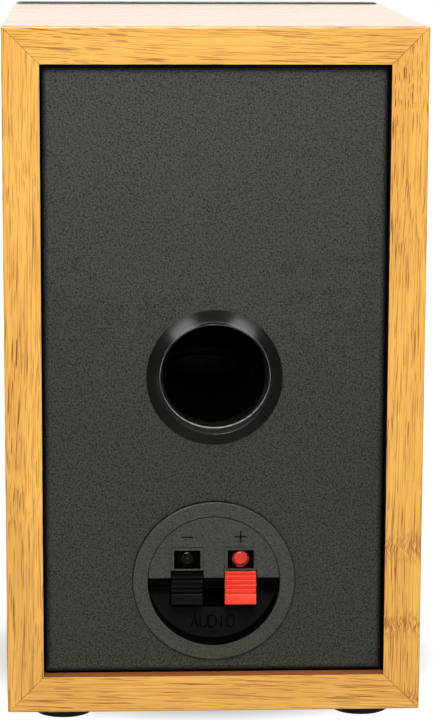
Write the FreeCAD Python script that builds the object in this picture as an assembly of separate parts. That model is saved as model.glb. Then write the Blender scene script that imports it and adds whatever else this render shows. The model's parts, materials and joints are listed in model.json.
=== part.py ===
import FreeCAD, Part
import math
import os

# A two-way bookshelf loudspeaker in millimetres. X runs across the cabinet, Y from the grille (-) to
# the rear panel (+), Z up. The origin is at the middle of the bounding box, on the surface that the
# rubber feet stand on.

# Cabinet
cabinet_width = 170.0
cabinet_height = 281.0
cabinet_depth = 190.0
board = 15.0
edge_round = 0.8
mitre_gap = 0.2
rear_recess = 6.5
rear_panel_thickness = 9.0
groove_depth = 5.0
panel_clearance = 0.2
baffle_thickness = 15.0
baffle_clearance = 0.15

# Feet
foot_radius = 12.5
foot_height = 4.5
foot_edge_round = 1.2
foot_inset_side = 23.0
foot_inset_end = 19.0

# Grille
grille_gap = 0.5
grille_depth = 12.0
cloth_thickness = 0.8
grille_bar = 15.0
grille_gusset = 26.0
grille_corner_round = 3.0
peg_radius = 3.5
peg_length = 9.0
peg_inset_side = 25.0
peg_inset_end = 25.0
peg_clearance = 0.1
socket_wall = 1.4
socket_rim = 1.2
socket_rim_thickness = 0.3
socket_floor = 1.5

# Port
port_bore_radius = 20.8
port_lip_wall = 1.7
port_flange_slope = 5.2
port_slope_bow = 0.15
port_lip_bead = 0.5
port_lip_bulge = 0.2
port_lip_height = 6.0
port_flange_edge = 0.8
port_taper_depth = 6.6
port_spigot_wall = 2.8
port_spigot_behind_panel = 14.0
port_tube_wall = 1.5
port_tube_length = 56.0
port_socket_depth = 12.0
port_hole_clearance = 0.3
port_gap_above_cup = 23.8

# Terminal cup
cup_margin = 5.5
cup_rim_width = 6.3
cup_flange_thickness = 2.0
cup_recess_radius = 27.2
cup_wall = 2.1
cup_recess_depth = 12.0
cup_floor = 1.6
cup_hole_clearance = 0.3
cup_line_width = 0.4
cup_line_depth = 0.45
cup_block_setback = 0.25
cup_block_edge_z = 2.4
cup_block_roll = 7.0
cup_pocket_depth = 5.0
cup_pocket_bottom = 14.0
cup_back_wall = 1.5
cup_hook_reach = 1.6
cup_hook_width = 6.0
letter_height = 5.0
letter_width = 3.0
letter_pitch = 3.75
letter_stroke = 0.55
letter_depth = 0.4
letter_drop = 20.3
tick_width = 0.4
tick_pitch = 0.95
tick_height = 1.3
tick_drop = 25.0
sign_rise = 18.6
sign_size = 4.9

# Spring clips
clip_pitch = 22.0
clip_width = 13.4
clip_bottom = 4.6
clip_top = 14.3
clip_depth = 11.0
clip_clearance = 0.1
clip_side_wall = 1.1
clip_top_wall = 0.6
window_side_bar = 1.3
window_bottom = 5.35
window_top = 13.05
window_depth = 1.4
window_wall = 0.8
eye_radius = 3.1
eye_clearance = 0.45
eye_rise = 9.4
eye_setback = 0.95
collar_wall = 0.45
collar_height = 0.8
lever_side_gap = 0.3
lever_top = 4.1
lever_bottom = 10.2
lever_thickness = 4.3
lever_ribs = 5
lever_rib_pitch = 1.95
lever_rib_depth = 0.8
lever_lip_out = 0.35
lever_arm_gap = 0.4
lever_arm_front = 2.5
pivot_rise = 12.0
pivot_depth = 4.0
pivot_pin_radius = 0.9
pivot_boss_radius = 1.5
pivot_clearance = 0.06
pivot_pin_setback = 0.2
contact_width = 5.0
contact_thickness = 0.5
contact_depth = 10.4
contact_rise = 12.6
contact_tab_reach = 8.0
slot_clearance = 0.15
spring_thickness = 0.4

# Woofer
woofer_margin = 12.0
woofer_radius = 65.0
woofer_flange_thickness = 2.0
woofer_rebate = 4.0
woofer_seat_clearance = 0.3
woofer_seat_width = 8.0
basket_wall = 1.2
basket_rim_width = 11.0
basket_taper = 12.0
basket_depth = 43.5
basket_window_angle = 55.0
basket_window_start = 14.0
basket_window_end = 29.0
spider_depth = 31.0
spider_shelf_width = 6.0
spider_waves = 5
spider_wave_height = 1.1
spider_sheet = 0.5
spider_glue_line = 0.25
cone_neck_depth = 24.0
cone_wall = 0.8
cone_rim = 3.0
cone_back_bow = 0.6
surround_roll_radius = 3.5
surround_sheet = 0.7
coil_radius = 12.6
coil_gap = 0.3
former_wall = 0.15
winding_thickness = 0.4
winding_length = 8.0
pole_radius = 12.0
top_plate_setback = 6.0
top_plate_thickness = 5.0
magnet_setback = 2.0
magnet_chamfer = 1.5
magnet_thickness = 15.0
magnet_bore_radius = 16.0
back_plate_thickness = 5.5
dust_cap_radius = 15.5
dust_cap_rise = 5.0
dust_cap_sink = 0.5
dust_cap_wall = 0.5
gasket_width = 7.0
screw_circle_margin = 3.8
screw_shank_radius = 1.9
screw_head_radius = 3.4
screw_head_height = 1.8
screw_length = 16.0
screw_clearance = 0.1
strip_thickness = 1.2
strip_width = 18.0
strip_overhang = 12.0
tab_width = 4.8
tab_thickness = 0.8
tab_length = 15.0
tab_drop = 4.0
woofer_tab_x = 5.0

# Tweeter
tweeter_gap = 7.0
tweeter_radius = 42.0
tweeter_rebate = 4.2
tweeter_seat_clearance = 0.3
tweeter_cutout_radius = 33.0
tweeter_hub_radius = 31.5
tweeter_hub_depth = 8.0
tweeter_horn_radius = 30.0
tweeter_throat_radius = 16.6
dome_radius = 12.4
dome_rise = 4.2
dome_wall = 0.4
dome_base_depth = 4.4
tweeter_plate_radius = 27.0
tweeter_plate_thickness = 3.0
tweeter_magnet_radius = 28.0
tweeter_magnet_thickness = 9.0
tweeter_pole_radius = 11.9
tweeter_tab_x = 6.0

# Crossover
crossover_length_x = 74.0
crossover_length_y = 54.0
crossover_thickness = 1.6
crossover_standoff = 5.0
crossover_rear_gap = 36.0
crossover_screw_radius = 1.5
crossover_screw_inset = 5.0
crossover_screw_bite = 8.0
crossover_screw_clearance = 0.1
crossover_head_radius = 2.8
crossover_head_height = 1.8
standoff_radius = 3.5
inductor_radius = 13.0
inductor_height = 12.0
inductor_core_radius = 6.0
inductor_bore_radius = 3.0
inductor_flange = 1.2
capacitor_radius = 7.0
capacitor_length = 28.0
resistor_length = 22.0
resistor_side = 9.5
lead_radius = 0.4

# Wiring and wadding
wire_radius = 1.1
woofer_pad_inset = 3.5
tweeter_pad_inset = 23.0
tinsel_radius = 0.6
wadding_thickness = 20.0
wadding_gap = 0.3
wadding_margin = 12.0
wadding_corner = 6.0

# Places that follow from the sizes above
V = FreeCAD.Vector
overall_depth = cabinet_depth + grille_gap + grille_depth
rear_y = overall_depth / 2
front_y = rear_y - cabinet_depth
grille_back_y = front_y - grille_gap
grille_front_y = -overall_depth / 2
base_z = foot_height
top_z = foot_height + cabinet_height
inner_half_width = cabinet_width / 2 - board
inner_bottom_z = base_z + board
inner_top_z = top_z - board
panel_face_y = rear_y - rear_recess
panel_back_y = panel_face_y - rear_panel_thickness
baffle_back_y = front_y + baffle_thickness
cup_flange_radius = cup_recess_radius + cup_rim_width
cup_z = inner_bottom_z + cup_margin + cup_flange_radius
cup_face_y = panel_face_y + cup_flange_thickness
cup_body_radius = cup_recess_radius + cup_wall
port_lip_radius = port_bore_radius + port_lip_wall
port_flange_radius = port_lip_radius + port_flange_slope
port_z = cup_z + cup_flange_radius + port_gap_above_cup + port_flange_radius
port_spigot_radius = port_bore_radius + port_spigot_wall
woofer_cutout_radius = woofer_radius - woofer_seat_width
gasket_inner_radius = woofer_radius - gasket_width
basket_throat_radius = woofer_radius - basket_rim_width
basket_back_radius = basket_throat_radius - basket_taper
spider_radius = basket_back_radius - spider_shelf_width
top_plate_radius = basket_back_radius - top_plate_setback
magnet_radius = basket_back_radius - magnet_setback
cone_radius = basket_throat_radius - 2 * surround_roll_radius
woofer_flange_front = woofer_rebate - woofer_flange_thickness
cone_middle_radius = (cone_radius + coil_radius) / 2
cone_middle_depth = (cone_neck_depth + woofer_flange_front) / 2
woofer_z = inner_bottom_z + woofer_margin + woofer_radius
tweeter_z = woofer_z + woofer_radius + tweeter_gap + tweeter_radius
tweeter_tab_z = tweeter_z - math.sqrt(tweeter_hub_radius ** 2 - (tweeter_tab_x + tab_width / 2) ** 2) + 0.3
window_width = clip_width - 2 * window_side_bar
lever_width = clip_width - 2 * lever_side_gap
lever_arm_width = clip_width - 2 * (clip_side_wall + lever_arm_gap)
clip_sides = {"pos": -clip_pitch / 2, "neg": clip_pitch / 2}
peg_x = cabinet_width / 2 - peg_inset_side
peg_places = [(sx * peg_x, z) for sx in (-1, 1) for z in (base_z + peg_inset_end, top_z - peg_inset_end)]
crossover_z = inner_bottom_z + crossover_standoff
crossover_rear_y = panel_back_y - crossover_rear_gap
crossover_front_y = crossover_rear_y - crossover_length_y


def save(node, *solids):
    """Write one node; several solids become a group."""
    shape = solids[0] if len(solids) == 1 else Part.makeCompound(list(solids))
    for solid in solids:
        if not solid.isValid() or solid.Volume <= 0 or len(solid.Solids) != 1:
            print("CHECK", node, solid.isValid(), solid.Volume, len(solid.Solids))
    shape.exportStep(os.path.join("parts", node + ".step"))
    print("%-24s %9.1f mm3" % (node, shape.Volume))


def box(x0, x1, y0, y1, z0, z1):
    return Part.makeBox(x1 - x0, y1 - y0, z1 - z0, V(x0, y0, z0))


def outline(points, place):
    """A closed face. A point (a, b) ends a line; (a, b, mid_a, mid_b) ends an arc through mid."""
    edges = []
    last = points[-1][:2]
    for point in points:
        here = point[:2]
        if len(point) == 4:
            edges.append(Part.Arc(place(*last), place(*point[2:]), place(*here)).toShape())
        elif math.dist(last, here) > 1e-6:
            edges.append(Part.LineSegment(place(*last), place(*here)).toShape())
        last = here
    return Part.Face(Part.Wire(edges))


def turned(points, centre_z, start_y, sense, centre_x=0.0, angle=360.0, turn=0.0):
    """Revolve (radius, depth) points about a Y axis; depth counts from start_y along sense."""
    face = outline(points, lambda r, d: V(centre_x + r, start_y + sense * d, centre_z))
    axis = V(0, 1, 0)
    solid = face.revolve(V(centre_x, 0, centre_z), axis, angle)
    if turn:
        solid.rotate(V(centre_x, 0, centre_z), axis, turn)
    return solid


def slab(points, x0, x1, start_y, centre_z):
    """Extrude (depth, rise) points along X; depth counts inwards from start_y."""
    face = outline(points, lambda d, z: V(x0, start_y - d, centre_z + z))
    return face.extrude(V(x1 - x0, 0, 0))


def strip_points(path, thickness):
    """Outline of a bent strip of even thickness around a path of points, with mitred bends."""
    left = []
    right = []
    for i, (a, b) in enumerate(path):
        before = path[max(i - 1, 0)]
        after = path[min(i + 1, len(path) - 1)]
        first = (a - before[0], b - before[1]) if i else (after[0] - a, after[1] - b)
        second = (after[0] - a, after[1] - b) if i < len(path) - 1 else first
        n1 = (-first[1] / math.hypot(*first), first[0] / math.hypot(*first))
        n2 = (-second[1] / math.hypot(*second), second[0] / math.hypot(*second))
        scale = thickness / 2 / (1 + n1[0] * n2[0] + n1[1] * n2[1])
        left.append((a + (n1[0] + n2[0]) * scale, b + (n1[1] + n2[1]) * scale))
        right.append((a - (n1[0] + n2[0]) * scale, b - (n1[1] + n2[1]) * scale))
    return left + right[::-1]


def domed_cap(radius, base, rise, wall):
    """Profile of a spherical cap that bulges towards smaller depths."""
    sphere = (radius ** 2 + rise ** 2) / (2 * rise)
    centre = base - rise + sphere
    half = math.asin(radius / sphere) / 2
    inner = sphere - wall
    inner_edge = math.sqrt(inner ** 2 - (sphere - rise) ** 2)
    inner_half = math.asin(inner_edge / inner) / 2
    return [(radius, base),
            (0, base - rise, sphere * math.sin(half), centre - sphere * math.cos(half)),
            (0, base - rise + wall),
            (inner_edge, base, inner * math.sin(inner_half), centre - inner * math.cos(inner_half))]


def ring_points(inner, outer, start, end, chamfer=0.0):
    """Profile of a flat ring, with its outer edges chamfered if asked."""
    if not chamfer:
        return [(inner, start), (outer, start), (outer, end), (inner, end)]
    return [(inner, start), (outer - chamfer, start), (outer, start + chamfer),
            (outer, end - chamfer), (outer - chamfer, end), (inner, end)]


def rod(radius, start, end):
    return Part.makeCylinder(radius, (end - start).Length, start, end - start)


def cord(name, points, radius):
    """Round cord: straight runs joined by tangent arcs, each as large as its runs allow."""
    points = [V(*p) for p in points]
    edges = []
    radii = []
    start = points[0]
    for before, corner, after in zip(points, points[1:], points[2:]):
        run_in = (corner - before).Length
        run_out = (after - corner).Length
        into = (corner - before).normalize()
        out = (after - corner).normalize()
        reach = 0.45 * min(run_in, run_out)
        half_turn = into.getAngle(out) / 2
        bend = reach / math.tan(half_turn)
        radii.append(bend)
        tangent_in = corner - into * reach
        tangent_out = corner + out * reach
        towards = (out - into).normalize()
        middle = corner + towards * (bend / math.cos(half_turn) - bend)
        edges.append(Part.LineSegment(start, tangent_in).toShape())
        edges.append(Part.Arc(tangent_in, middle, tangent_out).toShape())
        start = tangent_out
    edges.append(Part.LineSegment(start, points[-1]).toShape())
    path = Part.Wire(edges)
    section = Part.Wire(Part.makeCircle(radius, points[0], points[1] - points[0]))
    solid = path.makePipeShell([section], True, False)
    ideal = math.pi * radius ** 2 * path.Length
    print("cord %-20s length %.1f volume/ideal %.4f radii %s"
          % (name, path.Length, solid.Volume / ideal, " ".join("%.1f" % r for r in radii)))
    return solid


# ---- cabinet ----

def rounded_cabinet():
    block = box(-cabinet_width / 2, cabinet_width / 2, front_y, rear_y, base_z, top_z)
    return block.makeFillet(edge_round, block.Edges)


def panel_pocket(clearance):
    """The space of the rear panel and its groove, or the panel itself when the clearance is taken off."""
    reach = groove_depth - clearance
    return box(-inner_half_width - reach, inner_half_width + reach, panel_back_y, panel_face_y,
               inner_bottom_z - reach, inner_top_z + reach)


def mitred_board(side_x, side_z):
    """One wall of the cabinet: side_x or side_z is the side it closes, the other is 0."""
    half_w = cabinet_width / 2
    centre_z = (base_z + top_z) / 2
    half_h = cabinet_height / 2
    gap = mitre_gap / 2
    if side_z:
        points = [(-half_w + gap, half_h), (half_w - gap, half_h),
                  (inner_half_width - gap, half_h - board), (-inner_half_width + gap, half_h - board)]
        corners = [V(x, front_y, centre_z + side_z * z) for x, z in points]
    else:
        points = [(half_h - gap, half_w), (-half_h + gap, half_w),
                  (-half_h + board + gap, inner_half_width), (half_h - board - gap, inner_half_width)]
        corners = [V(side_x * x, front_y, centre_z + z) for z, x in points]
    prism = Part.Face(Part.makePolygon(corners + corners[:1])).extrude(V(0, cabinet_depth, 0))
    return prism.common(rounded_cabinet()).cut(panel_pocket(0.0))


def crossover_screw_places():
    reach = crossover_length_x / 2 - crossover_screw_inset
    return [(sx * reach, y) for sx in (-1, 1)
            for y in (crossover_front_y + crossover_screw_inset, crossover_rear_y - crossover_screw_inset)]


def make_cabinet():
    save("top_board", mitred_board(0, 1))
    floor = mitred_board(0, -1)
    for x, y in crossover_screw_places():
        pilot_end = V(x, y, inner_bottom_z - crossover_screw_bite - 0.5)
        floor = floor.cut(rod(crossover_screw_radius + 0.05, pilot_end, V(x, y, inner_bottom_z + 1)))
    save("bottom_board", floor)
    save("left_board", mitred_board(-1, 0))
    save("right_board", mitred_board(1, 0))


def make_rear_panel():
    panel = panel_pocket(panel_clearance)
    port_hole = rod(port_spigot_radius + port_hole_clearance, V(0, panel_back_y - 1, port_z),
                    V(0, panel_face_y + 1, port_z))
    cup_hole = rod(cup_body_radius + cup_hole_clearance, V(0, panel_back_y - 1, cup_z),
                   V(0, panel_face_y + 1, cup_z))
    save("rear_panel", panel.cut(port_hole).cut(cup_hole))


def screw_places(radius, centre_z):
    """Four screws on a circle, at 45 degrees to the axes."""
    reach = radius * math.sqrt(0.5)
    return [(sx * reach, centre_z + sz * reach) for sx in (-1, 1) for sz in (-1, 1)]


def round_head_screws(radius, centre_z):
    screws = []
    for x, z in screw_places(radius - screw_circle_margin, centre_z):
        profile = [(0, -screw_head_height), (screw_head_radius * 0.55, -screw_head_height),
                   (screw_head_radius, -0.5, screw_head_radius * 0.87, -screw_head_height * 0.72),
                   (screw_head_radius, 0), (screw_shank_radius, 0),
                   (screw_shank_radius, screw_length - 3), (0, screw_length)]
        head = turned(profile, z, front_y, 1, x)
        for slot in (box(x - 1.9, x + 1.9, front_y - 9, front_y - 0.7, z - 0.4, z + 0.4),
                     box(x - 0.4, x + 0.4, front_y - 9, front_y - 0.7, z - 1.9, z + 1.9)):
            head = head.cut(slot)
        screws.append(head)
    return screws


def screw_holes(radius, centre_z, start_y, end_y):
    return [rod(screw_shank_radius + screw_clearance, V(x, start_y, z), V(x, end_y, z))
            for x, z in screw_places(radius - screw_circle_margin, centre_z)]


def make_front_baffle():
    baffle = box(-inner_half_width + baffle_clearance, inner_half_width - baffle_clearance, front_y,
                 baffle_back_y, inner_bottom_z + baffle_clearance, inner_top_z - baffle_clearance)
    cuts = []
    for radius, rebate, clearance, cutout, z in (
            (woofer_radius, woofer_rebate, woofer_seat_clearance, woofer_cutout_radius, woofer_z),
            (tweeter_radius, tweeter_rebate, tweeter_seat_clearance, tweeter_cutout_radius, tweeter_z)):
        cuts.append(rod(radius + clearance, V(0, front_y - 1, z), V(0, front_y + rebate, z)))
        cuts.append(rod(cutout, V(0, front_y - 1, z), V(0, baffle_back_y + 1, z)))
        cuts += screw_holes(radius, z, front_y, front_y + screw_length + 0.5)
    for x, z in peg_places:
        cuts.append(rod(peg_radius + peg_clearance + socket_wall, V(x, front_y - 1, z),
                        V(x, front_y + socket_length(), z)))
    save("front_baffle", baffle.cut(Part.makeCompound(cuts)))


def make_driver_screws():
    save("driver_screws", *round_head_screws(woofer_radius, woofer_z),
         *round_head_screws(tweeter_radius, tweeter_z))


def make_feet():
    feet = []
    for sx in (-1, 1):
        for y in (front_y + foot_inset_end, rear_y - foot_inset_end):
            x = sx * (cabinet_width / 2 - foot_inset_side)
            foot = rod(foot_radius, V(x, y, 0), V(x, y, foot_height))
            bottom = [e for e in foot.Edges if e.BoundBox.ZMax < 0.01]
            feet.append(foot.makeFillet(foot_edge_round, bottom))
    save("rubber_feet", *feet)


# ---- grille ----

def socket_length():
    return peg_length - grille_gap + peg_clearance + socket_floor


def make_grille():
    half_w = cabinet_width / 2 - cloth_thickness
    bottom = base_z + cloth_thickness
    top = top_z - cloth_thickness
    front = grille_front_y + cloth_thickness
    frame = box(-half_w, half_w, front, grille_back_y, bottom, top)
    long_edges = [e for e in frame.Edges if e.BoundBox.YLength > grille_depth / 2]
    frame = frame.makeFillet(grille_corner_round - cloth_thickness, long_edges)
    in_x = half_w - grille_bar
    low = bottom + grille_bar
    high = top - grille_bar
    corner = grille_gusset
    eight = [(-in_x + corner, low), (in_x - corner, low), (in_x, low + corner), (in_x, high - corner),
             (in_x - corner, high), (-in_x + corner, high), (-in_x, high - corner), (-in_x, low + corner)]
    hole = outline(eight, lambda x, z: V(x, front - 1, z)).extrude(V(0, grille_depth + 2, 0))
    save("grille_frame", frame.cut(hole))

    sheet = box(-cabinet_width / 2, cabinet_width / 2, grille_front_y, front, base_z, top_z)
    corners = [e for e in sheet.Edges if abs(e.BoundBox.YLength - cloth_thickness) < 0.01]
    save("grille_cloth", sheet.makeFillet(grille_corner_round, corners))

    pegs = []
    sockets = []
    bore = peg_radius + peg_clearance
    for x, z in peg_places:
        peg = [(0, 0), (peg_radius, 0), (peg_radius, peg_length - 1.5), (peg_radius - 1.5, peg_length),
               (0, peg_length)]
        pegs.append(turned(peg, z, grille_back_y, 1, x))
        depth = socket_length()
        cup = [(bore, -socket_rim_thickness), (bore + socket_wall + socket_rim, -socket_rim_thickness),
               (bore + socket_wall + socket_rim, 0), (bore + socket_wall - 0.05, 0),
               (bore + socket_wall - 0.05, depth - 0.05), (0, depth - 0.05), (0, depth - socket_floor),
               (bore, depth - socket_floor)]
        sockets.append(turned(cup, z, front_y, 1, x))
    save("grille_pegs", *pegs)
    save("grille_sockets", *sockets)


# ---- port ----

def make_port():
    bore = port_bore_radius
    socket = bore + port_tube_wall + 0.1
    bead = port_lip_bead / 2
    spigot_end = rear_panel_thickness + port_spigot_behind_panel
    slope_radius = (port_flange_radius + port_lip_radius) / 2 + port_slope_bow
    slope_height = (port_flange_edge + port_lip_height) / 2 + port_slope_bow
    profile = [(port_flange_radius, 0), (port_flange_radius, -port_flange_edge),
               (port_lip_radius + bead, -port_lip_height, slope_radius, -slope_height),
               (port_lip_radius - bead, -port_lip_height, port_lip_radius, -port_lip_height - port_lip_bulge),
               (bore + 0.1, port_taper_depth - port_lip_height),
               (bore, port_taper_depth - port_lip_height + 0.6),
               (bore, spigot_end - port_socket_depth), (socket, spigot_end - port_socket_depth),
               (socket, spigot_end), (port_spigot_radius, spigot_end), (port_spigot_radius, 0)]
    save("port_flange", turned(profile, port_z, panel_face_y, -1))
    tube_start = spigot_end - port_socket_depth + 0.1
    tube = [(bore, tube_start), (bore + port_tube_wall, tube_start),
            (bore + port_tube_wall, tube_start + port_tube_length), (bore, tube_start + port_tube_length)]
    save("port_tube", turned(tube, port_z, panel_face_y, -1))


# ---- terminal cup and spring clips ----

def cup_slab(points, x0, x1):
    return slab(points, x0, x1, cup_face_y, cup_z)


def cup_box(x0, x1, d0, d1, z0, z1):
    return box(x0, x1, cup_face_y - d1, cup_face_y - d0, cup_z + z0, cup_z + z1)


def letter_strokes():
    """The word AUDIO in plain straight strokes, one list of points for each stroke, on a unit cell."""
    a_form = [[(0, 0), (0.5, 1), (1, 0)], [(0.2, 0.36), (0.8, 0.36)]]
    u_form = [[(0, 1), (0, 0.22), (0.25, 0), (0.75, 0), (1, 0.22), (1, 1)]]
    d_form = [[(0.02, 0), (0.6, 0), (1, 0.3), (1, 0.7), (0.6, 1), (0.02, 1)], [(0, -0.05), (0, 1.05)]]
    i_form = [[(0.5, 0), (0.5, 1)]]
    o_form = [[(0.5, 0), (0.25, 0), (0, 0.25), (0, 0.75), (0.25, 1), (0.5, 1)],
              [(0.5, 0), (0.75, 0), (1, 0.25), (1, 0.75), (0.75, 1), (0.5, 1)]]
    return [a_form, u_form, d_form, i_form, o_form]


def engraved_word():
    word = letter_strokes()
    solids = []
    for place, strokes in enumerate(word):
        # Seen from behind, X runs to the left, so the first letter stands at the highest X.
        left = letter_pitch * (len(word) - 1) / 2 - letter_pitch * place + letter_width / 2
        for stroke in strokes:
            path = [(left - a * letter_width, (b - 0.5) * letter_height - letter_drop) for a, b in stroke]
            face = outline(strip_points(path, letter_stroke),
                           lambda x, z: V(x, cup_face_y - cup_recess_depth + 0.5, cup_z + z))
            solids.append(face.extrude(V(0, -letter_depth - 0.5, 0)))
    return solids


def engraved_signs():
    depth = cup_block_setback + letter_depth
    half = sign_size / 2
    line = letter_stroke / 2
    solids = [cup_box(x - half, x + half, -0.1, depth, sign_rise - line, sign_rise + line)
              for x in clip_sides.values()]
    plus_x = clip_sides["pos"]
    solids.append(cup_box(plus_x - line, plus_x + line, -0.1, depth, sign_rise - half, sign_rise + half))
    return solids


def moulding_ticks():
    """Three short upright ticks under the word, left by the mould."""
    depth = cup_recess_depth
    return [cup_box(x - tick_width / 2, x + tick_width / 2, depth - 0.5, depth + letter_depth,
                    -tick_drop - tick_height / 2, -tick_drop + tick_height / 2)
            for x in (-tick_pitch, 0, tick_pitch)]


def make_terminal_cup():
    inner = cup_recess_radius
    line = cup_line_width / 2
    back = cup_recess_depth + cup_floor
    profile = [(0, cup_block_setback), (inner - line, cup_block_setback), (inner - line, cup_line_depth),
               (inner, cup_line_depth), (inner, 0.2), (inner + 0.2, 0),
               (cup_flange_radius - 0.7, 0),
               (cup_flange_radius, 0.7, cup_flange_radius - 0.2, 0.2),
               (cup_flange_radius, cup_flange_thickness), (cup_body_radius, cup_flange_thickness),
               (cup_body_radius, back), (0, back)]
    cup = turned(profile, cup_z, cup_face_y, -1)
    pocket_half = clip_pitch / 2 + clip_width / 2 + clip_clearance + 0.15
    pocket_back = cup_recess_depth + cup_pocket_depth
    cup = cup.fuse(cup_box(-pocket_half - 1.5, pocket_half + 1.5, back - 0.2, pocket_back + cup_back_wall,
                           -cup_pocket_bottom - 1.5, clip_top + 1.7))
    roll = cup_block_roll
    roll_depth = cup_block_setback + roll
    mid = roll * (1 - math.sqrt(0.5))
    wide = cup_flange_radius
    air = cup_block_setback - 0.01
    open_part = cup_slab([(-1, wide), (air, wide), (air, cup_block_edge_z),
                          (cup_block_setback, cup_block_edge_z),
                          (roll_depth, cup_block_edge_z - roll,
                           cup_block_setback + mid, cup_block_edge_z - roll + mid),
                          (cup_recess_depth, cup_block_edge_z - roll),
                          (cup_recess_depth, -wide), (-1, -wide)], -wide, wide)
    recess = rod(inner, V(0, cup_face_y + 1, cup_z), V(0, cup_face_y - cup_recess_depth, cup_z))
    cuts = [open_part.common(recess)]
    for x in clip_sides.values():
        half = clip_width / 2 + clip_clearance
        cuts.append(cup_box(x - half, x + half, -1, cup_recess_depth + 0.1,
                            cup_block_edge_z - roll - 0.5, clip_top + clip_clearance))
        tab_half = contact_width / 2 + slot_clearance
        tab_rise = contact_thickness / 2 + slot_clearance
        cuts.append(cup_box(x - tab_half, x + tab_half, pocket_back - 0.1, pocket_back + cup_back_wall + 1,
                            contact_rise - tab_rise, contact_rise + tab_rise))
    cuts.append(cup_box(-pocket_half, pocket_half, cup_recess_depth, pocket_back,
                        -cup_pocket_bottom, clip_top + clip_clearance))
    cup = cup.cut(Part.makeCompound(cuts))
    for cutter in engraved_word() + engraved_signs() + moulding_ticks():
        cup = cup.cut(cutter)
    hook_front = cup_flange_thickness + rear_panel_thickness + 0.2
    for turn in (45, 135, 225, 315):
        hook = slab([(hook_front, cup_body_radius - 0.5), (hook_front, cup_body_radius + cup_hook_reach),
                     (hook_front + 2.2, cup_body_radius - 0.5)],
                    -cup_hook_width / 2, cup_hook_width / 2, cup_face_y, cup_z)
        hook.rotate(V(0, 0, cup_z), V(0, 1, 0), turn)
        cup = cup.fuse(hook)
    save("terminal_cup", cup.removeSplitter())


def teardrop(x, radius, d0, d1):
    """Round hole whose bottom runs out to a right-angled point, like the notch that holds the wire."""
    apex = radius * math.sqrt(2)
    corner = radius * math.sqrt(0.5)
    points = [(0, -apex), (corner, -corner), (-corner, -corner, 0, radius)]
    face = outline(points, lambda a, b: V(x + a, cup_face_y - d1, cup_z + eye_rise + b))
    return face.extrude(V(0, d1 - d0, 0))


def pivot_rod(radius, x, half_length):
    y = cup_face_y - pivot_depth
    z = cup_z + pivot_rise
    return rod(radius, V(x - half_length, y, z), V(x + half_length, y, z))


def clip_frame(x):
    """Insert of one clip: front window, round collar, and the two ears that carry the lever."""
    half = clip_width / 2
    frame = cup_box(x - half, x + half, 0, clip_depth, clip_bottom, clip_top)
    window_half = window_width / 2
    pocket = cup_box(x - window_half, x + window_half, -1, window_depth, window_bottom, window_top)
    hole_radius = eye_radius + eye_clearance
    collar = teardrop(x, hole_radius + collar_wall, window_depth - collar_height, window_depth)
    collar = collar.common(cup_box(x - window_half, x + window_half, 0, window_depth,
                                   window_bottom - 0.1, window_top + 0.1))
    frame = frame.cut(pocket).fuse(collar)
    well_half = half - clip_side_wall
    well = cup_box(x - well_half, x + well_half, window_depth + window_wall, clip_depth + 1,
                   clip_bottom - 1, clip_top - clip_top_wall)
    hole = teardrop(x, hole_radius, -1, window_depth + window_wall + 1)
    hole = hole.common(cup_box(x - 9, x + 9, -1, 9, window_bottom + 0.25, clip_top + 1))
    pins = pivot_rod(pivot_pin_radius + pivot_clearance, x, half + 1)
    return frame.cut(well).cut(hole).cut(pins).removeSplitter()


def clip_lever(x):
    """Press lever: ribbed pad, arm with the round eye, and the pivot pins at its top."""
    points = [(lever_thickness, lever_top), (lever_rib_depth, lever_top)]
    for rib in range(lever_ribs):
        rise = lever_top - rib * lever_rib_pitch
        if rib:
            points.append((lever_rib_depth, rise))
        points.append((0.12, rise - (0.35 if rib == 0 else 0.0)))
        points.append((0.0, rise - (0.5 if rib == 0 else 0.15)))
        points.append((lever_rib_depth, rise - lever_rib_pitch + 0.25))
    lip_top = lever_top - lever_ribs * lever_rib_pitch
    points += [(lever_rib_depth, lip_top), (-lever_lip_out + 0.3, lip_top - 0.1),
               (-lever_lip_out, lip_top - 0.5), (-lever_lip_out * 0.5, -lever_bottom + 0.9),
               (0.7, -lever_bottom, 0.05, -lever_bottom + 0.28),
               (lever_thickness - 1.0, -lever_bottom), (lever_thickness, -lever_bottom + 1.2)]
    lever = cup_slab(points, x - lever_width / 2, x + lever_width / 2)
    arm_half = lever_arm_width / 2
    lever = lever.fuse(cup_box(x - arm_half, x + arm_half, lever_arm_front, lever_thickness,
                               lever_top - 1, pivot_rise))
    lever = lever.fuse(pivot_rod(pivot_boss_radius, x, arm_half))
    lever = lever.fuse(pivot_rod(pivot_pin_radius, x, clip_width / 2 - pivot_pin_setback))
    eye = [(0, 0), (eye_radius * 0.5, 0.08), (eye_radius, 0.85, eye_radius * 0.9, 0.32),
           (eye_radius, lever_arm_front + 0.3 - eye_setback), (0, lever_arm_front + 0.3 - eye_setback)]
    lever = lever.fuse(turned(eye, cup_z + eye_rise, cup_face_y - eye_setback, -1, x))
    return lever.removeSplitter()


def make_clips():
    pocket_back = cup_recess_depth + cup_pocket_depth
    for side, x in clip_sides.items():
        save("clip_frame_" + side, clip_frame(x))
        save("clip_lever_" + side, clip_lever(x))
        half = contact_width / 2
        tab_end = pocket_back + cup_back_wall + contact_tab_reach
        contact = strip_points([(contact_depth, 1.5), (contact_depth, contact_rise), (tab_end, contact_rise)],
                               contact_thickness)
        save("clip_contact_" + side, cup_slab(contact, x - half, x + half))
        foot_depth = pocket_back - spring_thickness / 2
        leaf = strip_points([(foot_depth, 5.0), (foot_depth, -3.5), (12.8, -6.0), (11.6, -5.4),
                             (lever_thickness + 0.6, -2.6), (lever_thickness + 0.3, -1.2)], spring_thickness)
        save("clip_spring_" + side, cup_slab(leaf, x - half, x + half))


# ---- woofer ----

def woofer_part(points, **options):
    return turned(points, woofer_z, front_y, 1, **options)


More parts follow.
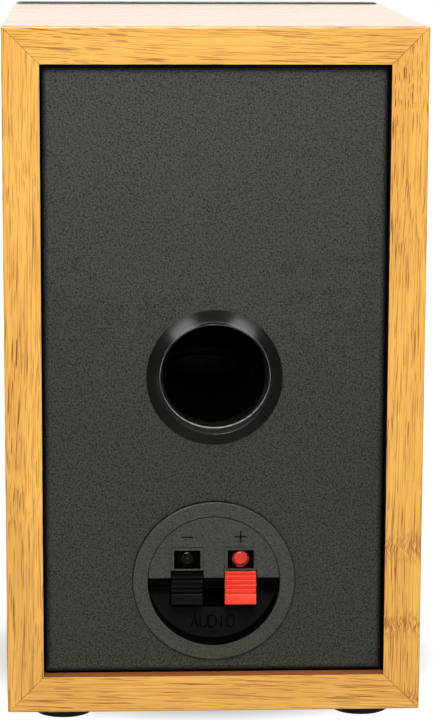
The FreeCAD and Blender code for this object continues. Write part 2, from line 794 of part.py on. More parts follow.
def basket_wall_radius(depth):
    """Outer radius of the basket's conical wall at a depth behind the flange."""
    share = (depth - woofer_rebate) / (basket_depth - woofer_rebate)
    return basket_throat_radius + basket_wall - share * (basket_taper + basket_wall)


def make_woofer_frame():
    flange_front = woofer_flange_front
    wall = basket_wall
    back = basket_depth
    shelf = spider_depth + 1.0
    inner_shelf = basket_wall_radius(shelf) - wall
    profile = [(woofer_radius, flange_front), (woofer_radius, woofer_rebate),
               (basket_throat_radius + wall, woofer_rebate), (basket_back_radius, back),
               (coil_radius + 1.5, back), (coil_radius + 1.5, back - wall),
               (basket_wall_radius(back - wall) - wall, back - wall),
               (basket_wall_radius(shelf + wall) - wall, shelf + wall), (spider_radius - 3, shelf + wall),
               (spider_radius - 3, shelf), (inner_shelf, shelf), (basket_throat_radius, flange_front)]
    basket = woofer_part(profile)
    near = basket_wall_radius(basket_window_start)
    far = basket_wall_radius(basket_window_end)
    cutter = [(near - 6, basket_window_start), (near + 6, basket_window_start),
              (far + 6, basket_window_end), (far - 6, basket_window_end)]
    for quarter in (0, 90, 180, 270):
        turn = quarter - basket_window_angle / 2
        basket = basket.cut(woofer_part(cutter, angle=basket_window_angle, turn=turn))
    for hole in screw_holes(woofer_radius, woofer_z, front_y - 1, front_y + woofer_rebate + 1):
        basket = basket.cut(hole)
    save("woofer_basket", basket)

    gasket = woofer_part([(gasket_inner_radius, 0.1), (woofer_radius, 0.1), (woofer_radius, flange_front),
                          (gasket_inner_radius, flange_front)])
    for hole in screw_holes(woofer_radius, woofer_z, front_y - 1, front_y + woofer_rebate):
        gasket = gasket.cut(hole)
    save("woofer_gasket", gasket)


def make_woofer_motor():
    plate_end = basket_depth + top_plate_thickness
    magnet_end = plate_end + magnet_thickness
    gap_radius = coil_radius + winding_thickness + coil_gap
    save("woofer_top_plate", woofer_part(ring_points(gap_radius, top_plate_radius, basket_depth, plate_end)))
    magnet = ring_points(magnet_bore_radius, magnet_radius, plate_end, magnet_end, magnet_chamfer)
    save("woofer_magnet", woofer_part(magnet))
    back_end = magnet_end + back_plate_thickness
    save("woofer_back_plate", woofer_part([(0, basket_depth), (pole_radius, basket_depth),
                                           (pole_radius, magnet_end), (top_plate_radius, magnet_end),
                                           (top_plate_radius, back_end), (0, back_end)]))


def make_woofer_cone():
    flange_front = woofer_flange_front
    neck = coil_radius + 0.05
    rim = cone_rim
    front = flange_front + 0.05
    back = flange_front + cone_wall
    neck_front = cone_neck_depth - 0.8
    back_middle = (cone_middle_radius - 1.7, cone_middle_depth - cone_back_bow)
    front_middle = (back_middle[0] - 0.9, back_middle[1] - 1.0)
    profile = [(cone_radius, front), (cone_radius, back), (cone_radius - rim, back),
               (neck + 1.2, cone_neck_depth, *back_middle),
               (neck, cone_neck_depth + 0.4), (neck, neck_front),
               (cone_radius - rim - 0.5, front, *front_middle)]
    save("woofer_cone", woofer_part(profile))

    slope = (neck_front - front_middle[1]) / (front_middle[0] - neck)
    cap_base = neck_front - slope * (dust_cap_radius - neck) - dust_cap_sink
    cap = domed_cap(dust_cap_radius, cap_base, dust_cap_rise, dust_cap_wall)
    save("woofer_dust_cap", woofer_part(cap))

    winding_start = basket_depth + (top_plate_thickness - winding_length) / 2
    winding_end = winding_start + winding_length
    former = ring_points(coil_radius - former_wall, coil_radius, cone_neck_depth - 2, winding_end + 0.5)
    save("woofer_coil_former", woofer_part(former))
    winding = ring_points(coil_radius, coil_radius + winding_thickness, winding_start, winding_end)
    save("woofer_voice_coil", woofer_part(winding))

    roll = surround_roll_radius
    skin = surround_sheet
    start = cone_radius + 0.2
    end = start + 2 * roll
    top = flange_front - skin
    surround = [(cone_radius - rim, top), (start, top), (end, top, start + roll, top - roll),
                (gasket_inner_radius - 0.2, top), (gasket_inner_radius - 0.2, flange_front),
                (end - skin * 0.8, flange_front),
                (start + skin * 0.8, flange_front, start + roll, top - roll + skin),
                (cone_radius - rim, flange_front)]
    save("woofer_surround", woofer_part(surround))

    wave = []
    inner = coil_radius + spider_glue_line
    pitch = (spider_radius - 4 - inner) / (2 * spider_waves)
    for step in range(2 * spider_waves + 1):
        side = 0 if step in (0, 2 * spider_waves) else (-1 if step % 2 else 1)
        wave.append((inner + step * pitch, spider_depth + side * spider_wave_height))
    edge = [(spider_radius - 3, spider_depth + 0.7), (spider_radius + 2, spider_depth + 0.7)]
    save("woofer_spider", woofer_part(strip_points(wave + edge, spider_sheet)))


def make_woofer_terminals():
    strip_y = front_y + basket_depth
    strip = box(-strip_width / 2, strip_width / 2, strip_y, strip_y + strip_thickness,
                woofer_z - basket_back_radius - strip_overhang, woofer_z - top_plate_radius - 0.8)
    # Each tinsel lead leaves the middle of the cone's back, hangs in a loop and ends in the strip.
    cone_y = front_y + cone_middle_depth - cone_back_bow
    cone_z = woofer_z - cone_middle_radius + 1.7
    rim_z = woofer_z - basket_back_radius
    leads = []
    for sx in (-1, 1):
        x = sx * woofer_tab_x
        leads.append(cord("woofer_leads", [
            (x, cone_y + 1.4, cone_z - 0.6), (x, cone_y + 7.6, cone_z - 2.4), (x, cone_y + 11.4, rim_z + 7.2),
            (x, cone_y + 10.4, rim_z - 0.6), (x, cone_y + 13.6, rim_z - 7.6),
            (x, cone_y + 21.6, rim_z - 10.5), (x, strip_y - 0.1, rim_z - 8.5)], tinsel_radius))
    save("woofer_terminal_strip", strip)
    save("woofer_leads", *leads)


def make_terminal_tabs():
    """Flat blades: two hang from the woofer's strip, two stand behind the tweeter's hub."""
    half = tab_width / 2
    start_y = front_y + basket_depth + strip_thickness
    top = woofer_z - basket_back_radius - tab_drop
    tabs = [box(sx * woofer_tab_x - half, sx * woofer_tab_x + half, start_y, start_y + tab_thickness,
                top - tab_length, top) for sx in (-1, 1)]
    start_y = front_y + tweeter_hub_depth
    tabs += [box(sx * tweeter_tab_x - half, sx * tweeter_tab_x + half, start_y, start_y + tab_length,
                 tweeter_tab_z, tweeter_tab_z + tab_thickness) for sx in (-1, 1)]
    save("driver_terminal_tabs", *tabs)


# ---- tweeter ----

def tweeter_part(points, **options):
    return turned(points, tweeter_z, front_y, 1, **options)


def make_tweeter():
    face = 0.1
    rim = 0.8
    throat = tweeter_throat_radius
    plate = [(tweeter_horn_radius, face + 0.6), (tweeter_horn_radius + 0.8, face),
             (tweeter_radius - rim, face),
             (tweeter_radius, face + rim, tweeter_radius - 0.24, face + 0.24),
             (tweeter_radius, tweeter_rebate), (tweeter_hub_radius, tweeter_rebate),
             (tweeter_hub_radius, tweeter_hub_depth), (throat + 1.6, tweeter_hub_depth),
             (throat + 1.6, dome_base_depth + 0.5), (throat, dome_base_depth - 0.3), (throat, 3.2)]
    faceplate = tweeter_part(plate)
    for hole in screw_holes(tweeter_radius, tweeter_z, front_y - 1, front_y + tweeter_rebate + 1):
        faceplate = faceplate.cut(hole)
    save("tweeter_faceplate", faceplate)

    base = dome_base_depth
    save("tweeter_dome", tweeter_part(domed_cap(dome_radius, base, dome_rise, dome_wall)))

    # Soft half roll between the dome and the clamped edge behind the faceplate.
    inner = dome_radius + 0.1
    outer = tweeter_throat_radius + 1.5
    roll_end = tweeter_throat_radius - 0.6
    middle = (inner + roll_end) / 2
    rise = 1.2
    skin = 0.35
    surround = [(inner, base), (roll_end, base, middle, base - rise), (outer, base + 0.6),
                (outer, base + 0.6 + skin), (roll_end - skin, base + skin),
                (inner + 0.1, base + skin, middle, base - rise + skin)]
    save("tweeter_surround", tweeter_part(surround))

    plate_start = tweeter_hub_depth
    plate_end = plate_start + tweeter_plate_thickness
    magnet_end = plate_end + tweeter_magnet_thickness
    coil = [(dome_radius - 0.2, base + 0.05), (dome_radius + 0.05, base + 0.05),
            (dome_radius + 0.05, plate_start + 0.4), (dome_radius + 0.3, plate_start + 0.4),
            (dome_radius + 0.3, plate_end - 0.6), (dome_radius - 0.2, plate_end - 0.6)]
    save("tweeter_voice_coil", tweeter_part(coil))
    gap_radius = dome_radius + 0.6
    top_plate = ring_points(gap_radius, tweeter_plate_radius, plate_start, plate_end)
    save("tweeter_top_plate", tweeter_part(top_plate))
    magnet = ring_points(gap_radius + 3, tweeter_magnet_radius, plate_end, magnet_end, 1.0)
    save("tweeter_magnet", tweeter_part(magnet))
    back_end = magnet_end + tweeter_plate_thickness
    save("tweeter_back_plate", tweeter_part([(0, plate_start), (tweeter_pole_radius, plate_start),
                                             (tweeter_pole_radius, magnet_end),
                                             (tweeter_plate_radius, magnet_end),
                                             (tweeter_plate_radius, back_end), (0, back_end)]))


# ---- crossover ----

def make_crossover():
    half = crossover_length_x / 2
    surface = crossover_z + crossover_thickness
    board_solid = box(-half, half, crossover_front_y, crossover_rear_y, crossover_z, surface)
    standoffs = []
    screws = []
    hole_radius = crossover_screw_radius + crossover_screw_clearance
    head_top = surface + crossover_head_height
    for x, y in crossover_screw_places():
        hole = rod(hole_radius, V(x, y, inner_bottom_z - 1), V(x, y, surface + 1))
        board_solid = board_solid.cut(hole)
        standoffs.append(rod(standoff_radius, V(x, y, inner_bottom_z), V(x, y, crossover_z)).cut(hole))
        head = rod(crossover_head_radius, V(x, y, surface), V(x, y, head_top))
        head = head.makeFillet(1.0, [e for e in head.Edges if e.BoundBox.ZMin > head_top - 0.1])
        head = head.cut(box(x - 1.8, x + 1.8, y - 0.35, y + 0.35, head_top - 0.9, head_top + 1))
        shank_end = V(x, y, inner_bottom_z - crossover_screw_bite)
        shank = rod(crossover_screw_radius, shank_end, V(x, y, surface + 0.5))
        screws.append(head.fuse(shank).removeSplitter())
    save("crossover_board", board_solid)
    save("crossover_standoffs", *standoffs)
    save("crossover_screws", *screws)

    coil_x = -half + inductor_radius + 11
    coil_y = (crossover_front_y + crossover_rear_y) / 2 - 8
    base = V(coil_x, coil_y, surface)
    top = base + V(0, 0, inductor_height)
    flange = V(0, 0, inductor_flange)
    bobbin = rod(inductor_core_radius, base, top)
    bobbin = bobbin.fuse(rod(inductor_radius, base, base + flange))
    bobbin = bobbin.fuse(rod(inductor_radius, top - flange, top))
    bobbin = bobbin.cut(rod(inductor_bore_radius, base - flange, top + flange))
    save("inductor_bobbin", bobbin.removeSplitter())
    winding = rod(inductor_radius - 1.0, base + flange, top - flange)
    save("inductor_winding", winding.cut(rod(inductor_core_radius, base, top)))

    can_x = half - capacitor_length / 2 - 6
    can_y = crossover_front_y + capacitor_radius + 6
    lift = surface + capacitor_radius
    can = rod(capacitor_radius, V(can_x - capacitor_length / 2, can_y, lift),
              V(can_x + capacitor_length / 2, can_y, lift))
    save("crossover_capacitor", can.makeFillet(0.9, [can.Edges[0], can.Edges[2]]))
    block_x = half - resistor_length / 2 - 10
    block_y = crossover_rear_y - resistor_side / 2 - 12
    block = box(block_x - resistor_length / 2, block_x + resistor_length / 2, block_y - resistor_side / 2,
                block_y + resistor_side / 2, surface, surface + resistor_side)
    save("crossover_resistor", block.makeFillet(0.6, block.Edges))

    leads = []
    for body_x, body_y, body_half, height in ((can_x, can_y, capacitor_length / 2, capacitor_radius),
                                              (block_x, block_y, resistor_length / 2, resistor_side / 2)):
        for sx in (-1, 1):
            x = body_x + sx * body_half
            rise = surface + height
            leads.append(cord("component_leads", [(x, body_y, rise), (x + sx * 2.4, body_y, rise),
                                                  (x + sx * 3.2, body_y, rise - 2.4),
                                                  (x + sx * 3.2, body_y, surface)], lead_radius))
    save("component_leads", *leads)


# ---- wiring and wadding ----

def make_wires():
    pad_z = crossover_z + crossover_thickness
    tab_y = cup_face_y - cup_recess_depth - cup_pocket_depth - cup_back_wall - contact_tab_reach
    tab_z = cup_z + contact_rise
    rear = crossover_rear_y
    for colour, side in (("red", "pos"), ("black", "neg")):
        x = clip_sides[side]
        lean = -1 if side == "pos" else 1
        save("input_wire_" + colour, cord("input_wire", [
            (x, tab_y, tab_z), (x, tab_y - 8, tab_z), (x + lean * 2, tab_y - 15, tab_z - 10),
            (x + lean * 3, tab_y - 15, tab_z - 24), (x + lean * 2, rear - 4, pad_z + 13),
            (x + lean, rear - 5, pad_z + 6), (x + lean, rear - 5, pad_z)], wire_radius))
    tag_y = front_y + basket_depth + strip_thickness + tab_thickness + wire_radius
    tag_z = woofer_z - basket_back_radius - tab_drop - tab_length
    pad_y = crossover_front_y + woofer_pad_inset
    span = pad_y - tag_y
    for colour, sx in (("red", -1), ("black", 1)):
        save("woofer_wire_" + colour, cord("woofer_wire", [
            (sx * woofer_tab_x, tag_y, tag_z + 6), (sx * woofer_tab_x, tag_y + 0.03 * span, tag_z - 3.5),
            (sx * 6.5, tag_y + 0.2 * span, tag_z - 10), (sx * 8.5, tag_y + 0.47 * span, tag_z - 6),
            (sx * 9.0, tag_y + 0.67 * span, pad_z + 13.5), (sx * 9.0, tag_y + 0.86 * span, pad_z + 14),
            (sx * 9.0, pad_y, pad_z + 8.5), (sx * 9.0, pad_y, pad_z)], wire_radius))
    tab_end = front_y + tweeter_hub_depth + tab_length
    rise = tweeter_tab_z - wire_radius
    drop = rise - pad_z - 17
    pad_y = crossover_front_y + tweeter_pad_inset
    span = pad_y - tab_end
    for colour, sx in (("red", -1), ("black", 1)):
        side = sx * (woofer_radius - 15)
        save("tweeter_wire_" + colour, cord("tweeter_wire", [
            (sx * tweeter_tab_x, tab_end - 5, rise), (sx * 6.5, tab_end + 6, rise - 1.5),
            (sx * 14, tab_end + 15, rise - 8), (sx * 27, tab_end + 18, rise - 19),
            (side - sx * 5, tab_end + 14, rise - 0.26 * drop),
            (side + sx * 2, tab_end + 11, rise - 0.4 * drop),
            (side + sx * 5, tab_end + 13, rise - 0.57 * drop),
            (side + sx * 3, tab_end + 18, rise - 0.73 * drop),
            (side - sx * 2, tab_end + 0.3 * span, rise - 0.87 * drop),
            (side - sx * 9, tab_end + 0.4 * span, pad_z + 17),
            (sx * 38.5, tab_end + 0.61 * span, pad_z + 11.5),
            (sx * 35.5, tab_end + 0.79 * span, pad_z + 13.2),
            (sx * 33.3, tab_end + 0.927 * span, pad_z + 14),
            (sx * 33, pad_y, pad_z + 8), (sx * 33, pad_y, pad_z)], wire_radius))


def make_wadding():
    side = inner_half_width - wadding_margin
    top = inner_top_z - wadding_gap
    pad = box(-side, side, baffle_back_y + wadding_margin, panel_back_y - wadding_margin,
              top - wadding_thickness, top)
    upright = [e for e in pad.Edges if e.BoundBox.ZLength > wadding_thickness / 2]
    save("damping_wadding", pad.makeFillet(wadding_corner, upright))


os.makedirs("parts", exist_ok=True)
make_cabinet()
make_rear_panel()
make_front_baffle()
make_driver_screws()
make_feet()
make_grille()
make_port()
make_terminal_cup()
make_clips()
make_woofer_frame()
make_woofer_motor()
make_woofer_cone()
make_woofer_terminals()
make_tweeter()
make_terminal_tabs()
make_crossover()
make_wires()
make_wadding()
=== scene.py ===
import json
import math
from functools import partial

import bpy
import numpy as np
from mathutils import Matrix, Vector


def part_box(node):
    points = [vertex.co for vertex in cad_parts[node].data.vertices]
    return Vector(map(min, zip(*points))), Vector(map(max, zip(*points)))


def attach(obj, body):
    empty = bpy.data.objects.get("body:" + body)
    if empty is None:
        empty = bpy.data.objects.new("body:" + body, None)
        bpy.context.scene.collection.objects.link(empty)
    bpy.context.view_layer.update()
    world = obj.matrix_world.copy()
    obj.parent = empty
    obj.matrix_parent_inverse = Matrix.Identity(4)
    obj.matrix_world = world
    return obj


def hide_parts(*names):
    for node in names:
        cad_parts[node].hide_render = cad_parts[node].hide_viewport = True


# Two-way bookshelf loudspeaker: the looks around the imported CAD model.
# Metres throughout. X across, Y from the grille (-) to the rear panel (+), Z up from the table.

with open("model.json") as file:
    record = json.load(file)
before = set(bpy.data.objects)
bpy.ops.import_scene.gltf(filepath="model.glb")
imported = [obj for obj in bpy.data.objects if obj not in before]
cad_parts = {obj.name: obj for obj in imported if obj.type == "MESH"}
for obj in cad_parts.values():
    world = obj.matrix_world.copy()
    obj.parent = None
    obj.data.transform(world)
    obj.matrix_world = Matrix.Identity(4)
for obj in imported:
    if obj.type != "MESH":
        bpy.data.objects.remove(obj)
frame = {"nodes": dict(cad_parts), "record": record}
scene = bpy.context.scene
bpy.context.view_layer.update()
mm = 0.001
slotOf = {part["node"]: part["material_slot"] for part in frame["record"]["subparts"]}
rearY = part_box("top_board")[1].y
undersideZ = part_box("bottom_board")[0].z
print("frame loaded:", len(slotOf), "nodes")


def linearColour(hexText):  # sRGB hex to the linear colour that the shaders take
    parts = [int(hexText[i:i + 2], 16) / 255 for i in (1, 3, 5)]
    return tuple(c / 12.92 if c <= 0.04045 else ((c + 0.055) / 1.055) ** 2.4 for c in parts) + (1.0,)


colourMix = {"out": 2, "data_type": "RGBA"}  # settings of the node that mixes two colours
grainSpan = {1: 0.3, 2: 0.7}                # where nearly all the values of a detailed noise lie
cloudSpan = {1: 0.35, 2: 0.65}              # and those of a plain noise
fineNoise = {"Scale": 1.0, "Detail": 3.0}   # a detailed noise, on coordinates already counted in its cells


def setInputs(node, inputs):  # each input takes a wire, a hex colour or a number
    for socket, value in inputs.items():
        if isinstance(value, bpy.types.NodeSocket):
            node.id_data.links.new(value, node.inputs[socket])
        else:
            node.inputs[socket].default_value = linearColour(value) if isinstance(value, str) else value


def addNode(tree, kind, inputs=None, out=0, **settings):
    # Adds one node with its inputs and its own settings, and gives back the output that is wanted.
    node = tree.nodes.new("ShaderNode" + kind)
    for name, value in settings.items():
        setattr(node, name, value)
    setInputs(node, inputs or {})
    return node.outputs[out]


def startMaterial(name, **values):
    # A new material, whose values are the same all over it. Gives it, its shader and a way to add nodes.
    material = bpy.data.materials.new(name)
    material.use_nodes = True
    shader = material.node_tree.nodes["Principled BSDF"]
    setInputs(shader, {label.replace("_", " "): value for label, value in values.items()})
    return material, shader, partial(addNode, material.node_tree)


# The camera stands behind the cabinet, a little above it.
cameraSettings = {
    "across": 49.0 * mm,        # towards +X of the cabinet's middle plane
    "behind": 1070.0 * mm,      # from the rear edges of the boards
    "height": 339.6 * mm,       # above the underside of the boards
    "yaw": 0.0468,              # radians
    "pitch": 0.1777,
    "roll": 0.0038,
    "lens": 134.9,              # millimetres
    "sensor": 36,               # millimetres along the long side
    "sees": (0.05, 30),         # nearest and farthest
}


def makeCamera(s):
    # Yaw turns the level view round Z, pitch tips it down and roll leans it. The three axes that come of it
    # are the columns of the camera's matrix.
    data = bpy.data.cameras.new("camera")
    data.lens = s["lens"]
    data.sensor_width = s["sensor"]
    data.clip_start, data.clip_end = s["sees"]
    camera = bpy.data.objects.new("camera", data)
    scene.collection.objects.link(camera)
    yaw, pitch, roll = s["yaw"], s["pitch"], s["roll"]
    level = Vector((-math.sin(yaw), -math.cos(yaw), 0))
    across = Vector((-math.cos(yaw), math.sin(yaw), 0))
    up = Vector((0, 0, 1))
    ahead = level * math.cos(pitch) - up * math.sin(pitch)
    top = up * math.cos(pitch) + level * math.sin(pitch)
    right = across * math.cos(roll) + top * math.sin(roll)
    top = top * math.cos(roll) - across * math.sin(roll)
    camera.matrix_world = Matrix((
        (right.x, top.x, -ahead.x, s["across"]), (right.y, top.y, -ahead.y, rearY + s["behind"]),
        (right.z, top.z, -ahead.z, undersideZ + s["height"]), (0, 0, 0, 1)))
    scene.camera = camera


def meshFromGrid(name, points, closed=False, poles=False):
    # points is (rows, columns, 3), and each cell of the grid becomes a quad. closed joins the last column to
    # the first, and poles closes each end row with a fan of triangles.
    rows, columns = points.shape[:2]
    i, j = np.meshgrid(np.arange(rows - 1), np.arange(columns - (not closed)), indexing="ij")
    nextI, nextJ = i + 1, (j + 1) % columns
    quads = np.stack([i * columns + j, nextI * columns + j, nextI * columns + nextJ, i * columns + nextJ], -1)
    faces = quads.reshape(-1, 4).tolist()
    vertices = points.reshape(-1, 3)
    if poles:
        count = len(vertices)
        vertices = np.vstack([vertices, points[0].mean(0), points[-1].mean(0)])
        ring = np.arange(columns)
        last = (rows - 1) * columns
        faces += np.stack([np.full(columns, count), ring, (ring + 1) % columns], -1).tolist()
        ahead = last + (ring + 1) % columns
        faces += np.stack([np.full(columns, count + 1), ahead, last + ring], -1).tolist()
    mesh = bpy.data.meshes.new(name)
    mesh.from_pydata(vertices.tolist(), [], faces)
    mesh.polygons.foreach_set("use_smooth", np.ones(len(mesh.polygons), bool))
    mesh.update()
    piece = bpy.data.objects.new(name, mesh)
    scene.collection.objects.link(piece)
    return piece


def turnOutwards(piece):
    # A closed mesh faces outward when its signed volume, the sum of a . (b x c), is above 0.
    mesh = piece.data
    mesh.calc_loop_triangles()
    corner = np.zeros(len(mesh.vertices) * 3)
    mesh.vertices.foreach_get("co", corner)
    index = np.zeros(len(mesh.loop_triangles) * 3, np.int32)
    mesh.loop_triangles.foreach_get("vertices", index)
    a, b, c = corner.reshape(-1, 3)[index.reshape(-1, 3)].transpose(1, 0, 2)
    if (a * np.cross(b, c)).sum() < 0:
        mesh.flip_normals()
    return piece


# A key light just over the camera, a small box high on each side for the gloss, a white backdrop beyond.
lightSettings = {
    "backdrop": 1.05,           # world brightness beyond the grille side, near the horizon
    "overhead": 0.35,           # higher up on that side
    "room": 0.06,               # on the camera's side
    "risesOver": (0.25, 0.6),   # height on the unit sphere from backdrop to overhead
    "turnsOver": (-0.35, 0.05),  # along Y, from the backdrop's side to the room's
    "keyPower": 3.2, "keySize": 0.7, "keySpread": 50, "keyPlace": (0.06, 1.64, 1.13),
    "sidePower": 6.0, "sideSize": 0.66, "sideSpread": 180, "sidePlace": (0.74, 0.42, 1.22),
    "target": (0.0, 0.05, 0.2),
    "floorHalf": 6,             # metres from the middle to an edge
    "floorLow": "#6A6A68", "floorHigh": "#727270", "floorCloud": 25 * mm, "floorRough": 0.8,
    "floorGlowAndShadow": (0.5, 1.15),   # what the camera sees: a painted shadow under the cabinet, and full glow past it
    "floorShadowReach": (0.084, 0.118),
    "floorSpill": 0.22,         # what the object gets
}


def makeLight(name, power, size, spread, place, target):
    # A square area light whose -Z axis points at the target.
    data = bpy.data.lights.new(name, "AREA")
    data.energy = power
    data.size = size
    data.spread = math.radians(spread)
    light = bpy.data.objects.new(name, data)
    light.location = place
    light.rotation_euler = (Vector(target) - Vector(place)).to_track_quat("-Z", "Y").to_euler()
    scene.collection.objects.link(light)


def makeStage(s):
    makeLight("keyLight", s["keyPower"], s["keySize"], s["keySpread"], s["keyPlace"], s["target"])
    x, y, z = s["sidePlace"]
    for name, side in (("sideLightLeft", 1), ("sideLightRight", -1)):
        makeLight(name, s["sidePower"], s["sideSize"], s["sideSpread"], (side * x, y, z), s["target"])

    world = bpy.data.worlds.new("studio")
    scene.world = world
    world.use_nodes = True
    node = partial(addNode, world.node_tree)
    axis = node("SeparateXYZ", {0: node("TexCoord", out="Generated")}).node.outputs
    (low, high), (near, far) = s["risesOver"], s["turnsOver"]
    beyond = node("MapRange", {0: axis["Z"], 1: low, 2: high, 3: s["backdrop"], 4: s["overhead"]})
    bright = node("MapRange", {0: axis["Y"], 1: near, 2: far, 3: beyond, 4: s["room"]})
    strength = node("Mix", {0: node("LightPath", out="Is Camera Ray"), 2: bright, 3: 1.0})  # seen as white
    setInputs(world.node_tree.nodes["Background"], {"Color": "#FFFFFF", "Strength": strength})

    # Floor: a flat square grid of two even parameters.
    edge = np.linspace(-s["floorHalf"], s["floorHalf"], 3)
    u, v = np.meshgrid(edge, edge)
    floor = meshFromGrid("floor", np.stack([u, v, np.zeros_like(u)], -1))
    # Opal acrylic sheet lit from below, like a light table. Its glow is dimmed in the middle as a painted
    # shadow under the cabinet.
    material, shader, node = startMaterial("opalAcrylicSheet", Roughness=s["floorRough"],
                                           Specular_IOR_Level=0.0, Emission_Color="#FFFFFF")
    place = node("TexCoord", out="Object")
    away = node("VectorMath", {0: place}, "Value", operation="LENGTH")
    (near, far), (dim, full) = s["floorShadowReach"], s["floorGlowAndShadow"]
    cloud = node("TexNoise", {0: place, "Scale": 1 / s["floorCloud"]})
    # Dimmer near the middle: a painted shadow under the cabinet.
    seen = node("MapRange", {0: away, 1: near, 2: far, 3: dim, 4: full})
    glow = node("Mix", {0: node("LightPath", out="Is Camera Ray"), 2: s["floorSpill"], 3: seen})
    setInputs(shader, {"Emission Strength": glow,
                       "Base Color": node("Mix", {0: cloud, 6: s["floorLow"], 7: s["floorHigh"]},
                                          **colourMix)})
    floor.data.materials.append(material)
    scene.view_settings.view_transform = "Standard"


makeCamera(cameraSettings)
makeStage(lightSettings)
print("camera, light and floor made")


def patternCells(node, size):
    # Object coordinates counted in the pattern's own cells, whose size is in metres.
    return node("Mapping", {0: node("TexCoord", out="Object"), "Scale": [1 / s for s in size]})


finishes = {}
oakBoards = {2: ("left_board", "right_board"), 0: ("top_board", "bottom_board")}  # by the axis of the grain
middle = (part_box("bottom_board")[0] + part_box("top_board")[1]) / 2  # of the cabinet

oak = {
    "ground": "#F0B553", "deep": "#E2A64A", "streak": "#C07C2E", "pore": "#7C3A14", "figure": "#8E4E1E",
    "bareBoardAndShade": {2: "#40200F", 0: "#A35A2A"},      # the upright boards' bare faces are painted darker, as shade
    "bareMargin": 0.02 * mm,                        # past the inner faces
    "coat": 1.0, "coatRough": 0.15, "gloss": 0.25,  # clear satin lacquer
    "rough": (0.4, 0.5),
    "waveHeight": 2.5 * mm, "wavesPerMetre": 9.0, "waveDetail": 1.0,    # the slow sway of the grain
    "lean": {2: 0.03, 0: 0.06},                     # radians off the board's long axis
    "broadSize": (12 * mm, 120 * mm), "broadEdge": (0.38, 0.62),  # sizes are across and along the grain
    "streakSize": (0.42 * mm, 38 * mm), "streakEdge": (0.48, 0.7), "streakShare": 0.75,
    "poreSize": (0.72 * mm, 24 * mm), "poreWidth": (0.02, 0.28),  # one short dark vessel line to a cell
    "poreSoft": 0.05, "poreDepth": 0.05 * mm, "poreBump": 0.6,
    "strokeSizes": ((0.36 * mm, 20 * mm), (0.42 * mm, 40 * mm)), "strokeEdge": (0.66, 0.7),
    "strokeLeans": (0.5, 1.0), "strokeDetail": 0.5,     # the leans are shares of "lean", one for each size
    "worn": (0.5, 1.0),                             # how dark the lines are, from pale to deep ground
    "figureSize": (0.55 * mm, 5.0 * mm), "figureLean": 0.3, "figureEdge": (0.53, 0.63), "figureDetail": 1.0,
    "figureShare": 0.85, "figureSpread": 8.0 * mm, "figureHeights": (9 * mm, 41 * mm, 74 * mm),
    "figureFrom": (26 * mm, 6 * mm),                # in from the rear edge, none to full
    "seeds": {"streak": 7.3, "pore": 3.1, "stroke": 17.7, "figure": 5.0},
}


def vesselLines(node, stretched, slope, s):
    # Long cells with a dark core of uneven width, and two sizes of long thin noise. Gives how dark they are.
    seeds = s["seeds"]
    cell = node("TexVoronoi", {0: stretched(s["poreSize"], slope, seeds["pore"]), "Scale": 1.0}).node.outputs
    thinnest, widest = s["poreWidth"]
    width = node("MapRange", {0: node("SeparateXYZ", {0: cell["Color"]}), 3: thinnest, 4: widest})
    inside = node("Math", {0: width, 1: cell["Distance"]}, operation="SUBTRACT")
    lines = node("MapRange", {0: inside, 2: s["poreSoft"]})
    low, high = s["strokeEdge"]
    for size, lean in zip(s["strokeSizes"], s["strokeLeans"]):
        stroke = node("TexNoise", {0: stretched(size, slope * lean, seeds["stroke"] + lean), "Scale": 1.0,
                                   "Detail": s["strokeDetail"]})
        stroke = node("MapRange", {0: stroke, 1: low, 2: high})
        lines = node("Math", {0: lines, 1: stroke}, operation="MAXIMUM")
    return lines


def rayFigure(node, stretched, place, bent, s):
    # Short strokes that cross, in rows on one upright board near its rear edge. Gives each row's share.
    strokes = [node("TexNoise", {0: stretched(s["figureSize"], way * s["figureLean"],
                                              s["seeds"]["figure"] + way),
                                 "Scale": 1.0, "Detail": s["figureDetail"]}) for way in (1, -1)]
    ripple = node("Math", {0: strokes[0], 1: strokes[1]}, operation="MAXIMUM")
    low, high = s["figureEdge"]
    mark = node("MapRange", {0: ripple, 1: low, 2: high, 4: s["figureShare"]})
    where = node("SeparateXYZ", {0: place}).node.outputs
    none, full = s["figureFrom"]
    oneBoard = node("Math", {0: where["X"], 1: 0.0}, operation="LESS_THAN")
    rear = node("MapRange", {0: where["Y"], 1: rearY - none, 2: rearY - full})
    figured = node("Math", {0: oneBoard, 1: rear}, operation="MULTIPLY")
    height = node("SeparateXYZ", {0: bent}, "Z")
    rows = []
    for figureHeight in s["figureHeights"]:
        far = node("Math", {0: height, 1: figureHeight}, operation="SUBTRACT")
        far = node("Math", {0: far}, operation="ABSOLUTE")
        band = node("MapRange", {0: far, 1: 0.0, 2: s["figureSpread"], 3: 1.0, 4: 0.0})
        band = node("Math", {0: band, 1: figured}, operation="MULTIPLY")
        rows.append(node("Math", {0: band, 1: mark}, operation="MULTIPLY"))
    return rows


def bareFaces(node, place, along, s):
    # 1 on the boards' inner faces and 0 on the rest, by the distance off the cabinet's middle.
    thin = 2 - along  # the axis across the board's thickness
    inner = [abs(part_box(n)[k][thin] - middle[thin]) for n in oakBoards[along] for k in (0, 1)]
    off = node("Math", {0: node("SeparateXYZ", {0: place}, "XYZ"[thin]), 1: middle[thin]},
               operation="SUBTRACT")
    off = node("Math", {0: off}, operation="ABSOLUTE")
    return node("Math", {0: off, 1: min(inner) + s["bareMargin"]}, operation="LESS_THAN")


